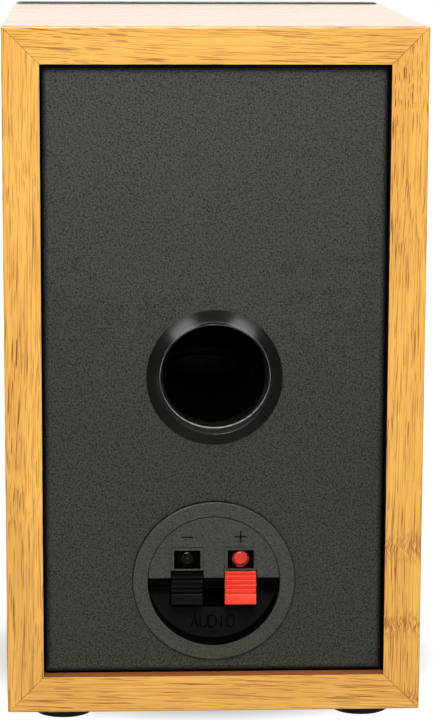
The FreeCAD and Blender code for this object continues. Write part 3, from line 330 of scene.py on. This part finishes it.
def makeOak(name, along, s):
    # Oak print foil with a clear satin lacquer: honey ground, long soft streaks, crisp short vessel lines
    # that lean a little, and rows of ray figure across the lower part of one upright board. The foil is
    # wrapped round the outside and the edges; the inner faces are bare brown board, painted darker on the
    # upright boards as shade.
    material, shader, node = startMaterial(name, Coat_Weight=s["coat"], Coat_Roughness=s["coatRough"],
                                           Specular_IOR_Level=s["gloss"])
    place = node("TexCoord", out="Object")
    slope = s["lean"][along]
    sway = node("TexNoise", {0: place, "Scale": s["wavesPerMetre"], "Detail": s["waveDetail"]}, "Color")
    centred = node("VectorMath", {0: sway, 1: (0.5, 0.5, 0.5)}, operation="SUBTRACT")
    shift = node("VectorMath", {0: centred, "Scale": s["waveHeight"] * 2}, operation="SCALE")
    bent = node("VectorMath", {0: place, 1: shift}, operation="ADD")

    def stretched(size, lean=0.0, seed=0.0):  # coordinates in cells that are long along the grain
        scale = [1 / size[0]] * 3
        scale[along] = 1 / size[1]
        leant = node("VectorRotate", {"Vector": bent, "Angle": lean}, rotation_type="Y_AXIS")
        return node("Mapping", {0: leant, "Scale": scale, "Location": (seed, seed, seed)})

    broad = node("TexNoise", {0: stretched(s["broadSize"]), "Scale": 1.0})
    pale, deep = s["broadEdge"]
    share = node("MapRange", {0: broad, 1: pale, 2: deep})
    colour = node("Mix", {0: share, 6: s["ground"], 7: s["deep"]}, **colourMix)
    streak = node("TexNoise", {0: stretched(s["streakSize"], slope / 2, s["seeds"]["streak"]), **fineNoise})
    low, high = s["streakEdge"]
    share = node("MapRange", {0: streak, 1: low, 2: high, 4: s["streakShare"]})
    colour = node("Mix", {0: share, 6: colour, 7: s["streak"]}, **colourMix)
    faint, full = s["worn"]
    worn = node("MapRange", {0: broad, **cloudSpan, 3: faint, 4: full})
    lines = node("Math", {0: vesselLines(node, stretched, slope, s), 1: worn}, operation="MULTIPLY")
    colour = node("Mix", {0: lines, 6: colour, 7: s["pore"]}, **colourMix)
    if along == 2:
        for share in rayFigure(node, stretched, place, bent, s):
            colour = node("Mix", {0: share, 6: colour, 7: s["figure"]}, **colourMix)
    bare = bareFaces(node, place, along, s)
    # The inner faces take the bare board's colour, painted darker on the upright boards as shade.
    colour = node("Mix", {0: bare, 6: colour, 7: s["bareBoardAndShade"][along]}, **colourMix)

    smooth, dull = s["rough"]
    rough = node("MapRange", {0: streak, 3: smooth, 4: dull})
    setInputs(shader, {"Base Color": colour,
                       "Roughness": node("Math", {0: rough, 1: lines}, operation="MAXIMUM"),
                       "Normal": node("Bump", {"Height": lines, "Distance": s["poreDepth"],
                                               "Strength": s["poreBump"]}, invert=True)})
    return material


pebbles = {  # what both pebbled skins share
    "soft": 0.6, "valleyShare": 0.6, "bump": 0.8,
    "speckCells": 1.4, "fineness": 0.65,        # the specks' size, in cells, and their fine detail
    "spread": (-0.02, 0.42),                    # of the texture's height, from valley to dome
    "uneven": 0.12,                             # of the roughness, each way
    "cloud": 45 * mm, "cloudEdge": (0.4, 0.7), "cloudShare": 0.15,
}
pebbledVinyl = {
    **pebbles, "low": "#070806", "high": "#30322C", "cell": 0.55 * mm, "depth": 0.10 * mm,
    "rough": 0.42, "gloss": 1.0, "valley": "#A4A89E", "dome": "#FBFFEE",    # the last two tint the gloss: painted shade in the valleys
    "cavity": (0.4 * mm, 3.4 * mm),             # from the boards, full shade to none
    "cavityShade": "#020202",
}
sparkTexture = {
    **pebbles, "low": "#22241F", "high": "#42443C", "cell": 0.4 * mm, "depth": 0.05 * mm,
    "rough": 0.5, "gloss": 0.6, "valley": "#C0C4BC", "dome": "#FFFFF4",
}


def makePebbled(name, s):
    # Pebbled black skin: small domes with valleys painted darker, in colour and gloss, as shade; patchy in
    # tone, a broad dull gloss on the domes.
    # The cells are drawn about twice as coarse as on the real skin, to show at all. Gives what a maker of one
    # kind of skin needs to go on from here.
    material, shader, node = startMaterial(name, Specular_IOR_Level=s["gloss"])
    cells = node("TexVoronoi", {0: patternCells(node, (s["cell"],) * 3), "Scale": 1.0,
                                "Smoothness": s["soft"]}, feature="SMOOTH_F1")
    speck = node("TexNoise", {0: patternCells(node, (s["cell"] * s["speckCells"],) * 3), **fineNoise,
                              "Roughness": s["fineness"]})
    valley = node("Math", {0: cells, 1: s["valleyShare"]}, operation="MULTIPLY")
    height = node("Math", {0: speck, 1: valley}, operation="SUBTRACT")
    lowest, highest = s["spread"]
    share = node("MapRange", {0: height, 1: lowest, 2: highest})
    # Colour from the height: random specks, and valleys painted darker as shade.
    colour = node("Mix", {0: share, 6: s["low"], 7: s["high"]}, **colourMix)
    tint = node("Mix", {0: share, 6: s["valley"], 7: s["dome"]}, **colourMix)  # painted shade: valleys give back less gloss
    cloud = node("TexNoise", {0: patternCells(node, (s["cloud"],) * 3), "Scale": 1.0})
    none, full = s["cloudEdge"]
    cloud = node("MapRange", {0: cloud, 1: none, 2: full, 4: s["cloudShare"]})
    colour = node("Mix", {0: cloud, 6: colour, 7: s["low"]}, **colourMix)
    setInputs(shader, {"Base Color": colour,
                       "Roughness": node("MapRange", {0: speck, **grainSpan, 3: s["rough"] + s["uneven"],
                                                      4: s["rough"] - s["uneven"]}),
                       "Normal": node("Bump", {"Height": height, "Distance": s["depth"],
                                               "Strength": s["bump"]})})
    return material, shader, node, colour, tint, speck


def makePanelSkin(name, s):
    # The skin is painted darker, in colour and gloss, in the corner along the boards: painted shade.
    material, shader, node, colour, tint, _ = makePebbled(name, s)
    wide = min(abs(corner.x) for board in oakBoards[2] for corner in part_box(board))
    low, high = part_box("bottom_board")[1].z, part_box("top_board")[0].z
    axis = node("SeparateXYZ", {0: node("TexCoord", out="Object")}).node.outputs
    across = node("Math", {0: axis["X"]}, operation="ABSOLUTE")
    up = node("Math", {0: axis["Z"], 1: (low + high) / 2}, operation="SUBTRACT")
    up = node("Math", {0: up}, operation="ABSOLUTE")
    room = [node("Math", {0: half, 1: off}, operation="SUBTRACT")
            for half, off in ((wide, across), ((high - low) / 2, up))]
    room = node("Math", {0: room[0], 1: room[1]}, operation="MINIMUM")
    near, far = s["cavity"]
    clear = node("MapRange", {0: room, 1: near, 2: far}, interpolation_type="SMOOTHSTEP")
    setInputs(shader, {"Base Color": node("Mix", {0: clear, 6: s["cavityShade"], 7: colour}, **colourMix),
                       "Specular Tint": node("Mix", {0: clear, 6: s["cavityShade"], 7: tint}, **colourMix)})
    return material


cupShades = {
    # Painted shade: the walls, window pockets, signs and word black without gloss, the recess floor darker
    # with depth.
    "wall": "#040403", "noGloss": "#000000", "wallRough": 0.7,
    "floorShade": "#100D0A", "floorGlossShade": "#808080", "floorDepths": (2.5 * mm, 11.5 * mm),
    "signDepths": (0.3 * mm, 1.0 * mm),         # the signs' floors lie between these
    "windowDepths": (1.0 * mm, 3.0 * mm),       # and the pockets' floors between these
    "wordDepth": 12.15 * mm,
    "edge": 0.05 * mm,                          # over which a shade comes in
    "uneven": 0.05,
    "facing": (0.35, 0.95),                     # how far a face looks backwards, wall to textured
}


def makeCupPlastic(name, s, shades):
    # The spark texture is only on the faces that look backwards. Walls across them, the window pockets and
    # the engraved signs and word are painted black with no gloss, as shade, and the recess floor darker with
    # depth.
    material, shader, node, colour, tint, speck = makePebbled(name, s)
    facing = node("SeparateXYZ", {0: node("TexCoord", out="Normal")}, "Y")
    inwards = node("SeparateXYZ", {0: node("TexCoord", out="Object")}, "Y")
    depth = node("Math", {0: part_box("terminal_cup")[1].y, 1: inwards}, operation="SUBTRACT")
    # The recess floor is painted darker and less glossy with depth, as shade.
    top, bottom = shades["floorDepths"]
    floor = node("MapRange", {0: depth, 1: top, 2: bottom})
    colour = node("Mix", {0: floor, 6: colour, 7: shades["floorShade"]}, **colourMix)
    tint = node("Mix", {0: floor, 6: tint, 7: shades["floorGlossShade"]}, **colourMix)
    top, bottom = shades["signDepths"]
    shallow = node("MapRange", {0: depth, 1: top, 2: top + shades["edge"]})
    notDeep = node("MapRange", {0: depth, 1: bottom, 2: bottom + 2 * shades["edge"], 3: 1.0, 4: 0.0})
    sign = node("Math", {0: shallow, 1: notDeep}, operation="MULTIPLY")
    word = node("MapRange", {0: depth, 1: shades["wordDepth"], 2: shades["wordDepth"] + shades["edge"]})
    top, bottom = shades["windowDepths"]
    pocket = node("Math", {0: depth, 1: (top + bottom) / 2, 2: (bottom - top) / 2}, operation="COMPARE")
    # Walls, pockets, signs and word lose the texture and are painted black without gloss: painted shade.
    across, backwards = shades["facing"]
    flat = node("MapRange", {0: facing, 1: across, 2: backwards})
    for shade in (pocket, sign, word):
        flat = node("Math", {0: flat, 1: shade}, operation="SUBTRACT", use_clamp=True)
    textured = node("MapRange", {0: speck, 3: s["rough"] + shades["uneven"],
                                 4: s["rough"] - shades["uneven"]})
    setInputs(shader, {"Base Color": node("Mix", {0: flat, 6: shades["wall"], 7: colour}, **colourMix),
                       "Specular Tint": node("Mix", {0: flat, 6: shades["noGloss"], 7: tint}, **colourMix),
                       "Roughness": node("Mix", {0: flat, 2: shades["wallRough"], 3: textured})})
    return material


mouldTexture = {
    "fineness": 0.6, "fineShare": 0.6, "cloudShare": 0.4, "cloud": 18 * mm, "uneven": 0.05, "bump": 0.8,
}


def makeMoulded(name, low, high, rough, cell=0.5 * mm, depth=0.01 * mm, grooveShade=None, **more):
    # Injection-moulded plastic or rubber: even colour with a faint cloud, fine mould texture, soft scuffs.
    # The last argument paints shade into a lever's grooves: the shade's colour, and the depths under the
    # cup's face over which it comes in.
    material, shader, node = startMaterial(name, **more)
    s = mouldTexture
    fine = node("TexNoise", {0: patternCells(node, (cell,) * 3), **fineNoise, "Roughness": s["fineness"]})
    cloud = node("TexNoise", {0: patternCells(node, (s["cloud"],) * 3), "Scale": 1.0})
    share = node("Math", {0: node("MapRange", {0: fine, **grainSpan, 4: s["fineShare"]}),
                          1: node("MapRange", {0: cloud, **cloudSpan, 4: s["cloudShare"]})}, operation="ADD")
    colour = node("Mix", {0: share, 6: low, 7: high}, **colourMix)
    if grooveShade:
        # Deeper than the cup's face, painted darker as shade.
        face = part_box("terminal_cup")[1].y
        grooveShadeColour, top, bottom = grooveShade
        inwards = node("SeparateXYZ", {0: node("TexCoord", out="Object")}, "Y")
        sunk = node("MapRange", {0: inwards, 1: face - top, 2: face - bottom})
        colour = node("Mix", {0: sunk, 6: colour, 7: grooveShadeColour}, **colourMix)
    setInputs(shader, {"Base Color": colour,
                       "Roughness": node("MapRange", {0: fine, **grainSpan, 3: rough - s["uneven"],
                                                      4: rough + s["uneven"]}),
                       "Normal": node("Bump", {"Height": fine, "Distance": depth, "Strength": s["bump"]})})
    return material


portFlange = {
    "low": "#0E0F0D", "high": "#151714", "streakSize": 2 * mm, "rough": (0.20, 0.28),
    "depth": 0.004 * mm, "bump": 0.5,
    # A pale ring painted on the rounded rim: a painted highlight, its centre raised as a glint's would be.
    "lipHighlight": "#B4B8B2", "lipRadius": 22.3 * mm, "lipWidth": 0.14 * mm,
    "lipRise": 1.3 * mm,                        # the pale ring's centre, above the port's
    "lipReach": 7.0 * mm,                       # how far in from the front the painted highlight runs
    "lipFade": (-21 * mm, 16 * mm), "lipFaintest": 0.12,   # it fades upwards
    "lipPatches": (0.35, 0.6), "lipPatchLeast": 0.5,  # the painted highlight is patchy, and this much is left where least
    # A grey band on the inner taper's sides: a painted reflection.
    "mouthReflection": "#2A2C27", "mouthRadii": (20.9 * mm, 22.3 * mm), "mouthSides": (4 * mm, 20 * mm),
    "lowerReflection": "#23261F", "lowerReflectionFrom": (-15 * mm, -24 * mm), "lowerReflectionShare": 0.9,   # a painted reflection of the floor, lighter below the centre
}


def makePortPlastic(name, s):
    # Mirror-polished black moulding. A hair-thin pale ring on the rounded rim is a painted highlight, a grey
    # band on the inner taper's sides a painted reflection, and the lower bevel is painted lighter as a
    # reflection of the floor.
    material, shader, node = startMaterial(name)
    low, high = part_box("port_flange")
    centre = (low + high) / 2
    place = node("Mapping", {0: node("TexCoord", out="Object"), "Location": (-centre.x, 0, -centre.z),
                             "Scale": (1, 0, 1)})
    offset = node("SeparateXYZ", {0: place}).node.outputs
    streak = node("TexNoise", {0: patternCells(node, (s["streakSize"],) * 3), **fineNoise})

    raised = node("VectorMath", {0: place, 1: (0, 0, s["lipRise"])}, operation="SUBTRACT")
    raised = node("VectorMath", {0: raised}, "Value", operation="LENGTH")
    ring = node("Math", {0: raised, 1: s["lipRadius"], 2: s["lipWidth"]}, operation="COMPARE")
    inwards = node("SeparateXYZ", {0: node("TexCoord", out="Object")}, "Y")
    front = node("Math", {0: inwards, 1: high.y - s["lipReach"]}, operation="GREATER_THAN")
    gap, whole = s["lipPatches"]
    patches = node("MapRange", {0: streak, 1: gap, 2: whole, 3: s["lipPatchLeast"]})
    bottom, top = s["lipFade"]
    fade = node("MapRange", {0: offset["Z"], 1: bottom, 2: top, 3: 1.0, 4: s["lipFaintest"]})
    # The painted highlight: a thin ring near the front, patchy and fading upwards.
    lipHighlight = node("Math", {0: ring, 1: front}, operation="MULTIPLY")
    for share in (patches, fade):
        lipHighlight = node("Math", {0: lipHighlight, 1: share}, operation="MULTIPLY")

    # A painted reflection at the sides of the inner taper.
    inner, outer = s["mouthRadii"]
    radius = node("VectorMath", {0: place}, "Value", operation="LENGTH")
    mouthReflection = node("Math", {0: radius, 1: (inner + outer) / 2, 2: (outer - inner) / 2}, operation="COMPARE")
    side = node("Math", {0: offset["X"]}, operation="ABSOLUTE")
    side = node("Math", {0: side, 1: offset["Z"]}, operation="SUBTRACT")
    near, far = s["mouthSides"]
    side = node("MapRange", {0: side, 1: near, 2: far})
    mouthReflection = node("Math", {0: mouthReflection, 1: side}, operation="MULTIPLY")

    # The lower bevel painted lighter: a painted reflection of the floor.
    above, below = s["lowerReflectionFrom"]
    lowerReflectionMask = node("MapRange", {0: offset["Z"], 1: above, 2: below, 4: s["lowerReflectionShare"]})
    colour = node("Mix", {0: streak, 6: s["low"], 7: s["high"]}, **colourMix)
    for share, shade in ((lowerReflectionMask, s["lowerReflection"]), (mouthReflection, s["mouthReflection"]), (lipHighlight, s["lipHighlight"])):
        colour = node("Mix", {0: share, 6: colour, 7: shade}, **colourMix)
    smooth, dull = s["rough"]
    setInputs(shader, {"Base Color": colour,
                       "Roughness": node("MapRange", {0: streak, 3: smooth, 4: dull}),
                       "Normal": node("Bump", {"Height": streak, "Distance": s["depth"],
                                               "Strength": s["bump"]})})
    return material


metalTexture = {
    "fineness": 0.6, "cloud": 9 * mm, "smoother": 0.08, "rougher": 0.1, "depth": 0.004 * mm, "bump": 0.7,
}


def makeMetal(name, low, high, rough, lineSize=(0.12 * mm, 6 * mm, 6 * mm)):
    # Rolled, turned or plated metal: long glints across fine tool lines, slightly uneven plating.
    material, shader, node = startMaterial(name, Metallic=1.0)
    s = metalTexture
    lines = node("TexNoise", {0: patternCells(node, lineSize), **fineNoise, "Roughness": s["fineness"]})
    cloud = node("TexNoise", {0: patternCells(node, (s["cloud"],) * 3), **fineNoise})
    cloud = node("MapRange", {0: cloud, **cloudSpan})
    setInputs(shader, {"Base Color": node("Mix", {0: cloud, 6: low, 7: high}, **colourMix),
                       "Roughness": node("MapRange", {0: lines, **grainSpan, 3: rough - s["smoother"],
                                                      4: rough + s["rougher"]}),
                       "Normal": node("Bump", {"Height": lines, "Distance": s["depth"],
                                               "Strength": s["bump"]})})
    return material


weave = {
    "sheen": 0.3, "sheenRough": 0.5, "threadShare": 0.8, "yarnShare": 0.35,
    "yarn": 0.3, "fineness": 0.7,               # the yarn's own fuzz, its size in pitches
    "spread": (0.2, 0.95),                      # of the height, from gap to thread
    "smoother": 0.08, "rougher": 0.05, "bump": 0.9,
}


def makeWoven(name, low, high, pitch, rough, depth, axes=("X", "Z")):
    # Plain weave: the height is |sin a . sin b| of two crossed sets of rounded threads, with uneven dye.
    s = weave
    material, shader, node = startMaterial(name, Sheen_Weight=s["sheen"], Sheen_Roughness=s["sheenRough"])
    axis = node("SeparateXYZ", {0: patternCells(node, (pitch / math.pi,) * 3)}).node.outputs
    waves = [node("Math", {0: axis[a]}, operation="SINE") for a in axes]
    height = node("Math", {0: waves[0], 1: waves[1]}, operation="MULTIPLY")
    height = node("Math", {0: height}, operation="ABSOLUTE")
    yarn = node("TexNoise", {0: patternCells(node, (pitch * s["yarn"],) * 3), **fineNoise,
                             "Roughness": s["fineness"]})
    threads = node("Math", {0: height, 1: s["threadShare"]}, operation="MULTIPLY")
    fuzz = node("Math", {0: yarn, 1: s["yarnShare"]}, operation="MULTIPLY")
    mixed = node("Math", {0: threads, 1: fuzz}, operation="ADD")
    # The colour follows the height: the gaps between threads are painted darker as shade, and the yarn's fuzz
    # gives the uneven dye.
    gap, top = s["spread"]
    share = node("MapRange", {0: mixed, 1: gap, 2: top})
    setInputs(shader, {"Base Color": node("Mix", {0: share, 6: low, 7: high}, **colourMix),
                       "Roughness": node("MapRange", {0: yarn, 3: rough - s["smoother"],
                                                      4: rough + s["rougher"]}),
                       "Normal": node("Bump", {"Height": mixed, "Distance": depth, "Strength": s["bump"]})})
    return material


winding = {
    "low": "#6E3318", "high": "#C06A3A", "pitch": 0.4 * mm, "along": "Y", "depth": 0.1 * mm, "bump": 0.8,
    "rough": (0.25, 0.35), "lacquer": 0.5, "lacquerRough": 0.15, "cloud": 3 * mm, "cloudDarkest": 0.7,
}


def makeWound(name, s):
    # Enamelled wire in close turns: round ridges, |sin|, along one axis, under glossy lacquer.
    material, shader, node = startMaterial(name, Metallic=1.0, Coat_Weight=s["lacquer"],
                                           Coat_Roughness=s["lacquerRough"])
    place = node("SeparateXYZ", {0: patternCells(node, (s["pitch"] / math.pi,) * 3)}, s["along"])
    ridge = node("Math", {0: node("Math", {0: place}, operation="SINE")}, operation="ABSOLUTE")
    cloud = node("TexNoise", {0: patternCells(node, (s["cloud"],) * 3), "Scale": 1.0})
    patches = node("MapRange", {0: cloud, 3: s["cloudDarkest"]})
    # The colour is painted darker between the turns, as shade in the creases.
    share = node("Math", {0: ridge, 1: patches}, operation="MULTIPLY")
    smooth, dull = s["rough"]
    setInputs(shader, {"Base Color": node("Mix", {0: share, 6: s["low"], 7: s["high"]}, **colourMix),
                       "Roughness": node("MapRange", {0: cloud, 3: smooth, 4: dull}),
                       "Normal": node("Bump", {"Height": ridge, "Distance": s["depth"],
                                               "Strength": s["bump"]})})
    return material


finishes["oakGrainUpright"] = makeOak("oakFoilUpright", 2, oak)
finishes["oakGrainLevel"] = makeOak("oakFoilLevel", 0, oak)
finishes["black_vinyl_board"] = makePanelSkin("pebbledVinylOnBoard", pebbledVinyl)
finishes["textured_black_plastic"] = makeCupPlastic("sparkTexturedABS", sparkTexture, cupShades)
finishes["gloss_black_plastic"] = makePortPlastic("polishedBlackABS", portFlange)
finishes["black_plastic"] = makeMoulded(  # glossy, but with little gloss to give back
    "mouldedBlackABS", "#030303", "#070706", 0.22, Specular_IOR_Level=0.22)
finishes["red_plastic"] = makeMoulded(  # bright ribs, with painted shade in the grooves and on the sunken eye
    "mouldedRedABS", "#F43C28", "#FC4C36", 0.36, 0.6 * mm, 0.008 * mm, ("#CE3222", 0.4 * mm, 0.9 * mm))

# Name, two colours, roughness, then the texture's cell and depth where it isn't the usual fine one.
mouldedFinishes = {
    "white_plastic": ("naturalNylon", "#D8D6CA", "#E6E4DA", 0.45),  # waxy off-white
    "capacitor_sleeve": ("shrinkSleeveBlue", "#1B2F57", "#24407A", 0.3, 2 * mm, 0.02 * mm),  # taut and shiny
    "black_board": ("paintedBoardBlack", "#121212", "#1D1D1C", 0.6, 0.8 * mm, 0.05 * mm),  # eggshell paint
    "black_rubber": ("nitrileRubber", "#0B0B0A", "#151514", 0.68, 0.4 * mm, 0.02 * mm),  # matt, greyish
    "red_wire": ("redPVC", "#B01712", "#C41F18", 0.4, 1.0 * mm, 0.02 * mm),  # smooth and waxy
    "black_wire": ("blackPVC", "#0E0E0E", "#191918", 0.42, 1.0 * mm, 0.02 * mm),
    "resistor_cement": ("castCement", "#C9C4B4", "#DCD8CA", 0.85, 0.5 * mm, 0.08 * mm),  # chalky, pitted
    "ferrite": ("groundFerrite", "#26272A", "#34353A", 0.5, 0.5 * mm, 0.03 * mm),  # dense grey ceramic
    "board_laminate": ("phenolicPaper", "#7E5426", "#9A6A34", 0.5, 1.2 * mm, 0.02 * mm),  # brown, flecked
    "formerFilm": ("polyimideFilm", "#8E5212", "#A8661C", 0.25, 3 * mm, 0.01 * mm),  # amber film
    "cone_paper": ("coatedPulpCone", "#131312", "#22221F", 0.72, 0.9 * mm, 0.08 * mm),  # felted fibre
    "black_steel": ("powderCoatedSteel", "#101010", "#1B1B1A", 0.5, 0.7 * mm, 0.04 * mm),  # orange peel
}
for slot, values in mouldedFinishes.items():
    finishes[slot] = makeMoulded(*values)

# Name, two colours, roughness, then the tool lines' cell along X, Y and Z where it isn't the usual one.
metalFinishes = {
    "tinned_brass": ("tinnedBrass", "#B5B2A6", "#CFCBBB", 0.3),  # soft warm grey
    "spring_steel": ("rolledSpringSteel", "#8F9092", "#B0B1B2", 0.3),  # rolled, fine lines
    "zinc_steel": ("blackPassivatedZinc", "#2E2F2E", "#454643", 0.34, (6 * mm, 0.15 * mm, 6 * mm)),  # turned; painted darker than bare zinc, as shade inside the cabinet
    "tinned_wire": ("tinnedCopperBraid", "#9E9A8C", "#C2BDAA", 0.35, (0.5 * mm,) * 3),  # broken glints
    "screw_black": ("blackOxideSteel", "#1A1A1B", "#2B2B2C", 0.38),  # oily black
}
for slot, values in metalFinishes.items():
    finishes[slot] = makeMetal(*values)

# Name, two colours, thread pitch, roughness, depth, and the two axes of the threads where not X and Z. The
# grille knit's real pitch is under a millimetre; it is drawn at 1.9 mm, the finest that shows.
wovenFinishes = {
    "spider_cloth": ("resinedCotton", "#8E6E34", "#C6A45C", 0.8 * mm, 0.75, 0.1 * mm),  # stiff and open
    "dome_silk": ("dopedSilk", "#0D0D0D", "#1D1D1C", 0.35 * mm, 0.5, 0.03 * mm),  # sticky and close
    "grille_fabric": ("knittedPolyester", "#040404", "#363633", 1.9 * mm, 0.85, 0.35 * mm),  # dull knit
    "wadding": ("polyesterFelt", "#26262A", "#48484C", 1.4 * mm, 0.95, 0.6 * mm, ("X", "Y")),
}
for slot, values in wovenFinishes.items():
    finishes[slot] = makeWoven(*values)
finishes["coil_copper"] = makeWound("enamelledCopper", winding)

finishOf = dict(slotOf)  # by node: the record's slot, except for the boards' grain and the coil former
finishOf.update({board: "oakGrainLevel" for board in oakBoards[0]})
finishOf.update({board: "oakGrainUpright" for board in oakBoards[2]})
finishOf["woofer_coil_former"] = "formerFilm"
for node, part in frame["nodes"].items():
    part.data.materials.clear()
    part.data.materials.append(finishes[finishOf[node]])
print("materials made:", len(finishes))


grilleCloth = {
    "cornerRadius": 3.0 * mm, "edgeRadius": 1.6 * mm, "thickness": 0.5 * mm,
    "hem": 0.9 * mm,            # radius of the turn onto the frame's back
    "step": 3.5 * mm, "rollSteps": 7, "sideSteps": 5, "hemSteps": 4,
}


def makeGrilleCloth(s):
    # A flat sheet (a, b) laid on the frame and folded round it. Past the front face's corner centre the
    # distance rho runs flat, then round the edge by an arc, then straight back along the side to a hem.
    low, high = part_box("grille_cloth")
    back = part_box("grille_frame")[1].y
    halfW, halfH = (high.x - low.x) / 2, (high.z - low.z) / 2
    middleZ = (high.z + low.z) / 2
    corner, edge = s["cornerRadius"], s["edgeRadius"]
    flat = corner - edge
    arc = edge * math.pi / 2
    side = back - low.y - edge - s["hem"]
    hemArc = s["hem"] * math.pi / 2
    outer = flat + arc + side + hemArc
    wrap = np.concatenate([np.linspace(0, flat, 2)[1:], flat + np.linspace(0, arc, s["rollSteps"])[1:],
                           flat + arc + np.linspace(0, side, s["sideSteps"])[1:],
                           flat + arc + side + np.linspace(0, hemArc, s["hemSteps"])[1:]])

    def lengths(half):
        inner = np.linspace(-half, half, 2 * int(half / s["step"]) + 1)
        return np.concatenate([(-half - wrap)[::-1], inner, half + wrap])

    a, b = np.meshgrid(lengths(halfW - corner), lengths(halfH - corner), indexing="ij")
    overA = np.maximum(np.abs(a) - (halfW - corner), 0)
    overB = np.maximum(np.abs(b) - (halfH - corner), 0)
    rho = np.hypot(overA, overB)
    safe = np.maximum(rho, 1e-9)
    rho = np.minimum(rho, outer)  # at a corner rho would run past the sheet's edge
    turn = np.clip((rho - flat) / edge, 0, math.pi / 2)
    hemTurn = np.clip((rho - flat - arc - side) / s["hem"], 0, math.pi / 2)
    out = np.minimum(rho, flat) + edge * np.sin(turn) - s["hem"] * (1 - np.cos(hemTurn))
    depth = edge * (1 - np.cos(turn)) + np.clip(rho - flat - arc, 0, side) + s["hem"] * np.sin(hemTurn)
    x = np.sign(a) * (np.minimum(np.abs(a), halfW - corner) + out * overA / safe)
    z = middleZ + np.sign(b) * (np.minimum(np.abs(b), halfH - corner) + out * overB / safe)
    piece = meshFromGrid("grilleCloth", np.stack([x, low.y + depth, z], -1))
    if piece.data.polygons[len(piece.data.polygons) // 2].normal.y > 0:
        piece.data.flip_normals()
    wall = piece.modifiers.new("thickness", "SOLIDIFY")
    wall.thickness = s["thickness"]
    wall.offset = -1
    piece.data.materials.append(finishes["grille_fabric"])
    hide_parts("grille_cloth")
    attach(piece, "grille")


makeGrilleCloth(grilleCloth)
print("grille cloth made")


dampingPad = {
    "square": 0.28, "crown": 0.55,      # powers: 1 is round, 0 is square
    "rows": 60, "columns": 150,
    "wave": 0.4 * mm, "waves": 9, "waveNumbers": (25, 90), "seed": 4,   # wave numbers in radians per metre
    "phases": (0, 6.3),                 # radians
    "lumpFlat": 0.6,                    # the lumps' height up and down, against sideways
    "inset": 2.6 * mm,                  # room for the lumps inside the CAD solid's box
}


def makeDampingPad(s):
    # Superellipsoid pad: sides from powers of sine and cosine, then lumps from a few seeded sine waves.
    low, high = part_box("damping_wadding")
    centre, half = (low + high) / 2, (high - low) / 2
    v = np.linspace(-math.pi / 2, math.pi / 2, s["rows"] + 2)[1:-1, None]
    u = np.linspace(0, 2 * math.pi, s["columns"], endpoint=False)[None, :]

    def power(value, share):
        return np.sign(value) * np.abs(value) ** share

    ring = power(np.cos(v), s["crown"])
    x = ring * power(np.cos(u), s["square"])
    y = ring * power(np.sin(u), s["square"])
    z = power(np.sin(v), s["crown"]) + 0 * u
    random = np.random.default_rng(s["seed"])
    lump = np.zeros_like(x)
    for _ in range(s["waves"]):
        k = random.uniform(*s["waveNumbers"], 3)
        phase = random.uniform(*s["phases"])
        lump += np.sin(k[0] * x * half.x + k[1] * y * half.y + k[2] * z * half.z + phase)
    shrink = 1 - s["inset"] / np.array(half)
    grow = s["wave"] * lump
    points = np.stack([x * (half.x * shrink[0] + grow), y * (half.y * shrink[1] + grow),
                       z * (half.z * shrink[2] + grow * s["lumpFlat"])], -1) + np.array(centre)
    piece = turnOutwards(meshFromGrid("dampingPad", points, closed=True, poles=True))
    piece.data.materials.append(finishes["wadding"])
    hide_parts("damping_wadding")
    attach(piece, "cabinet")


makeDampingPad(dampingPad)
print("damping pad made")
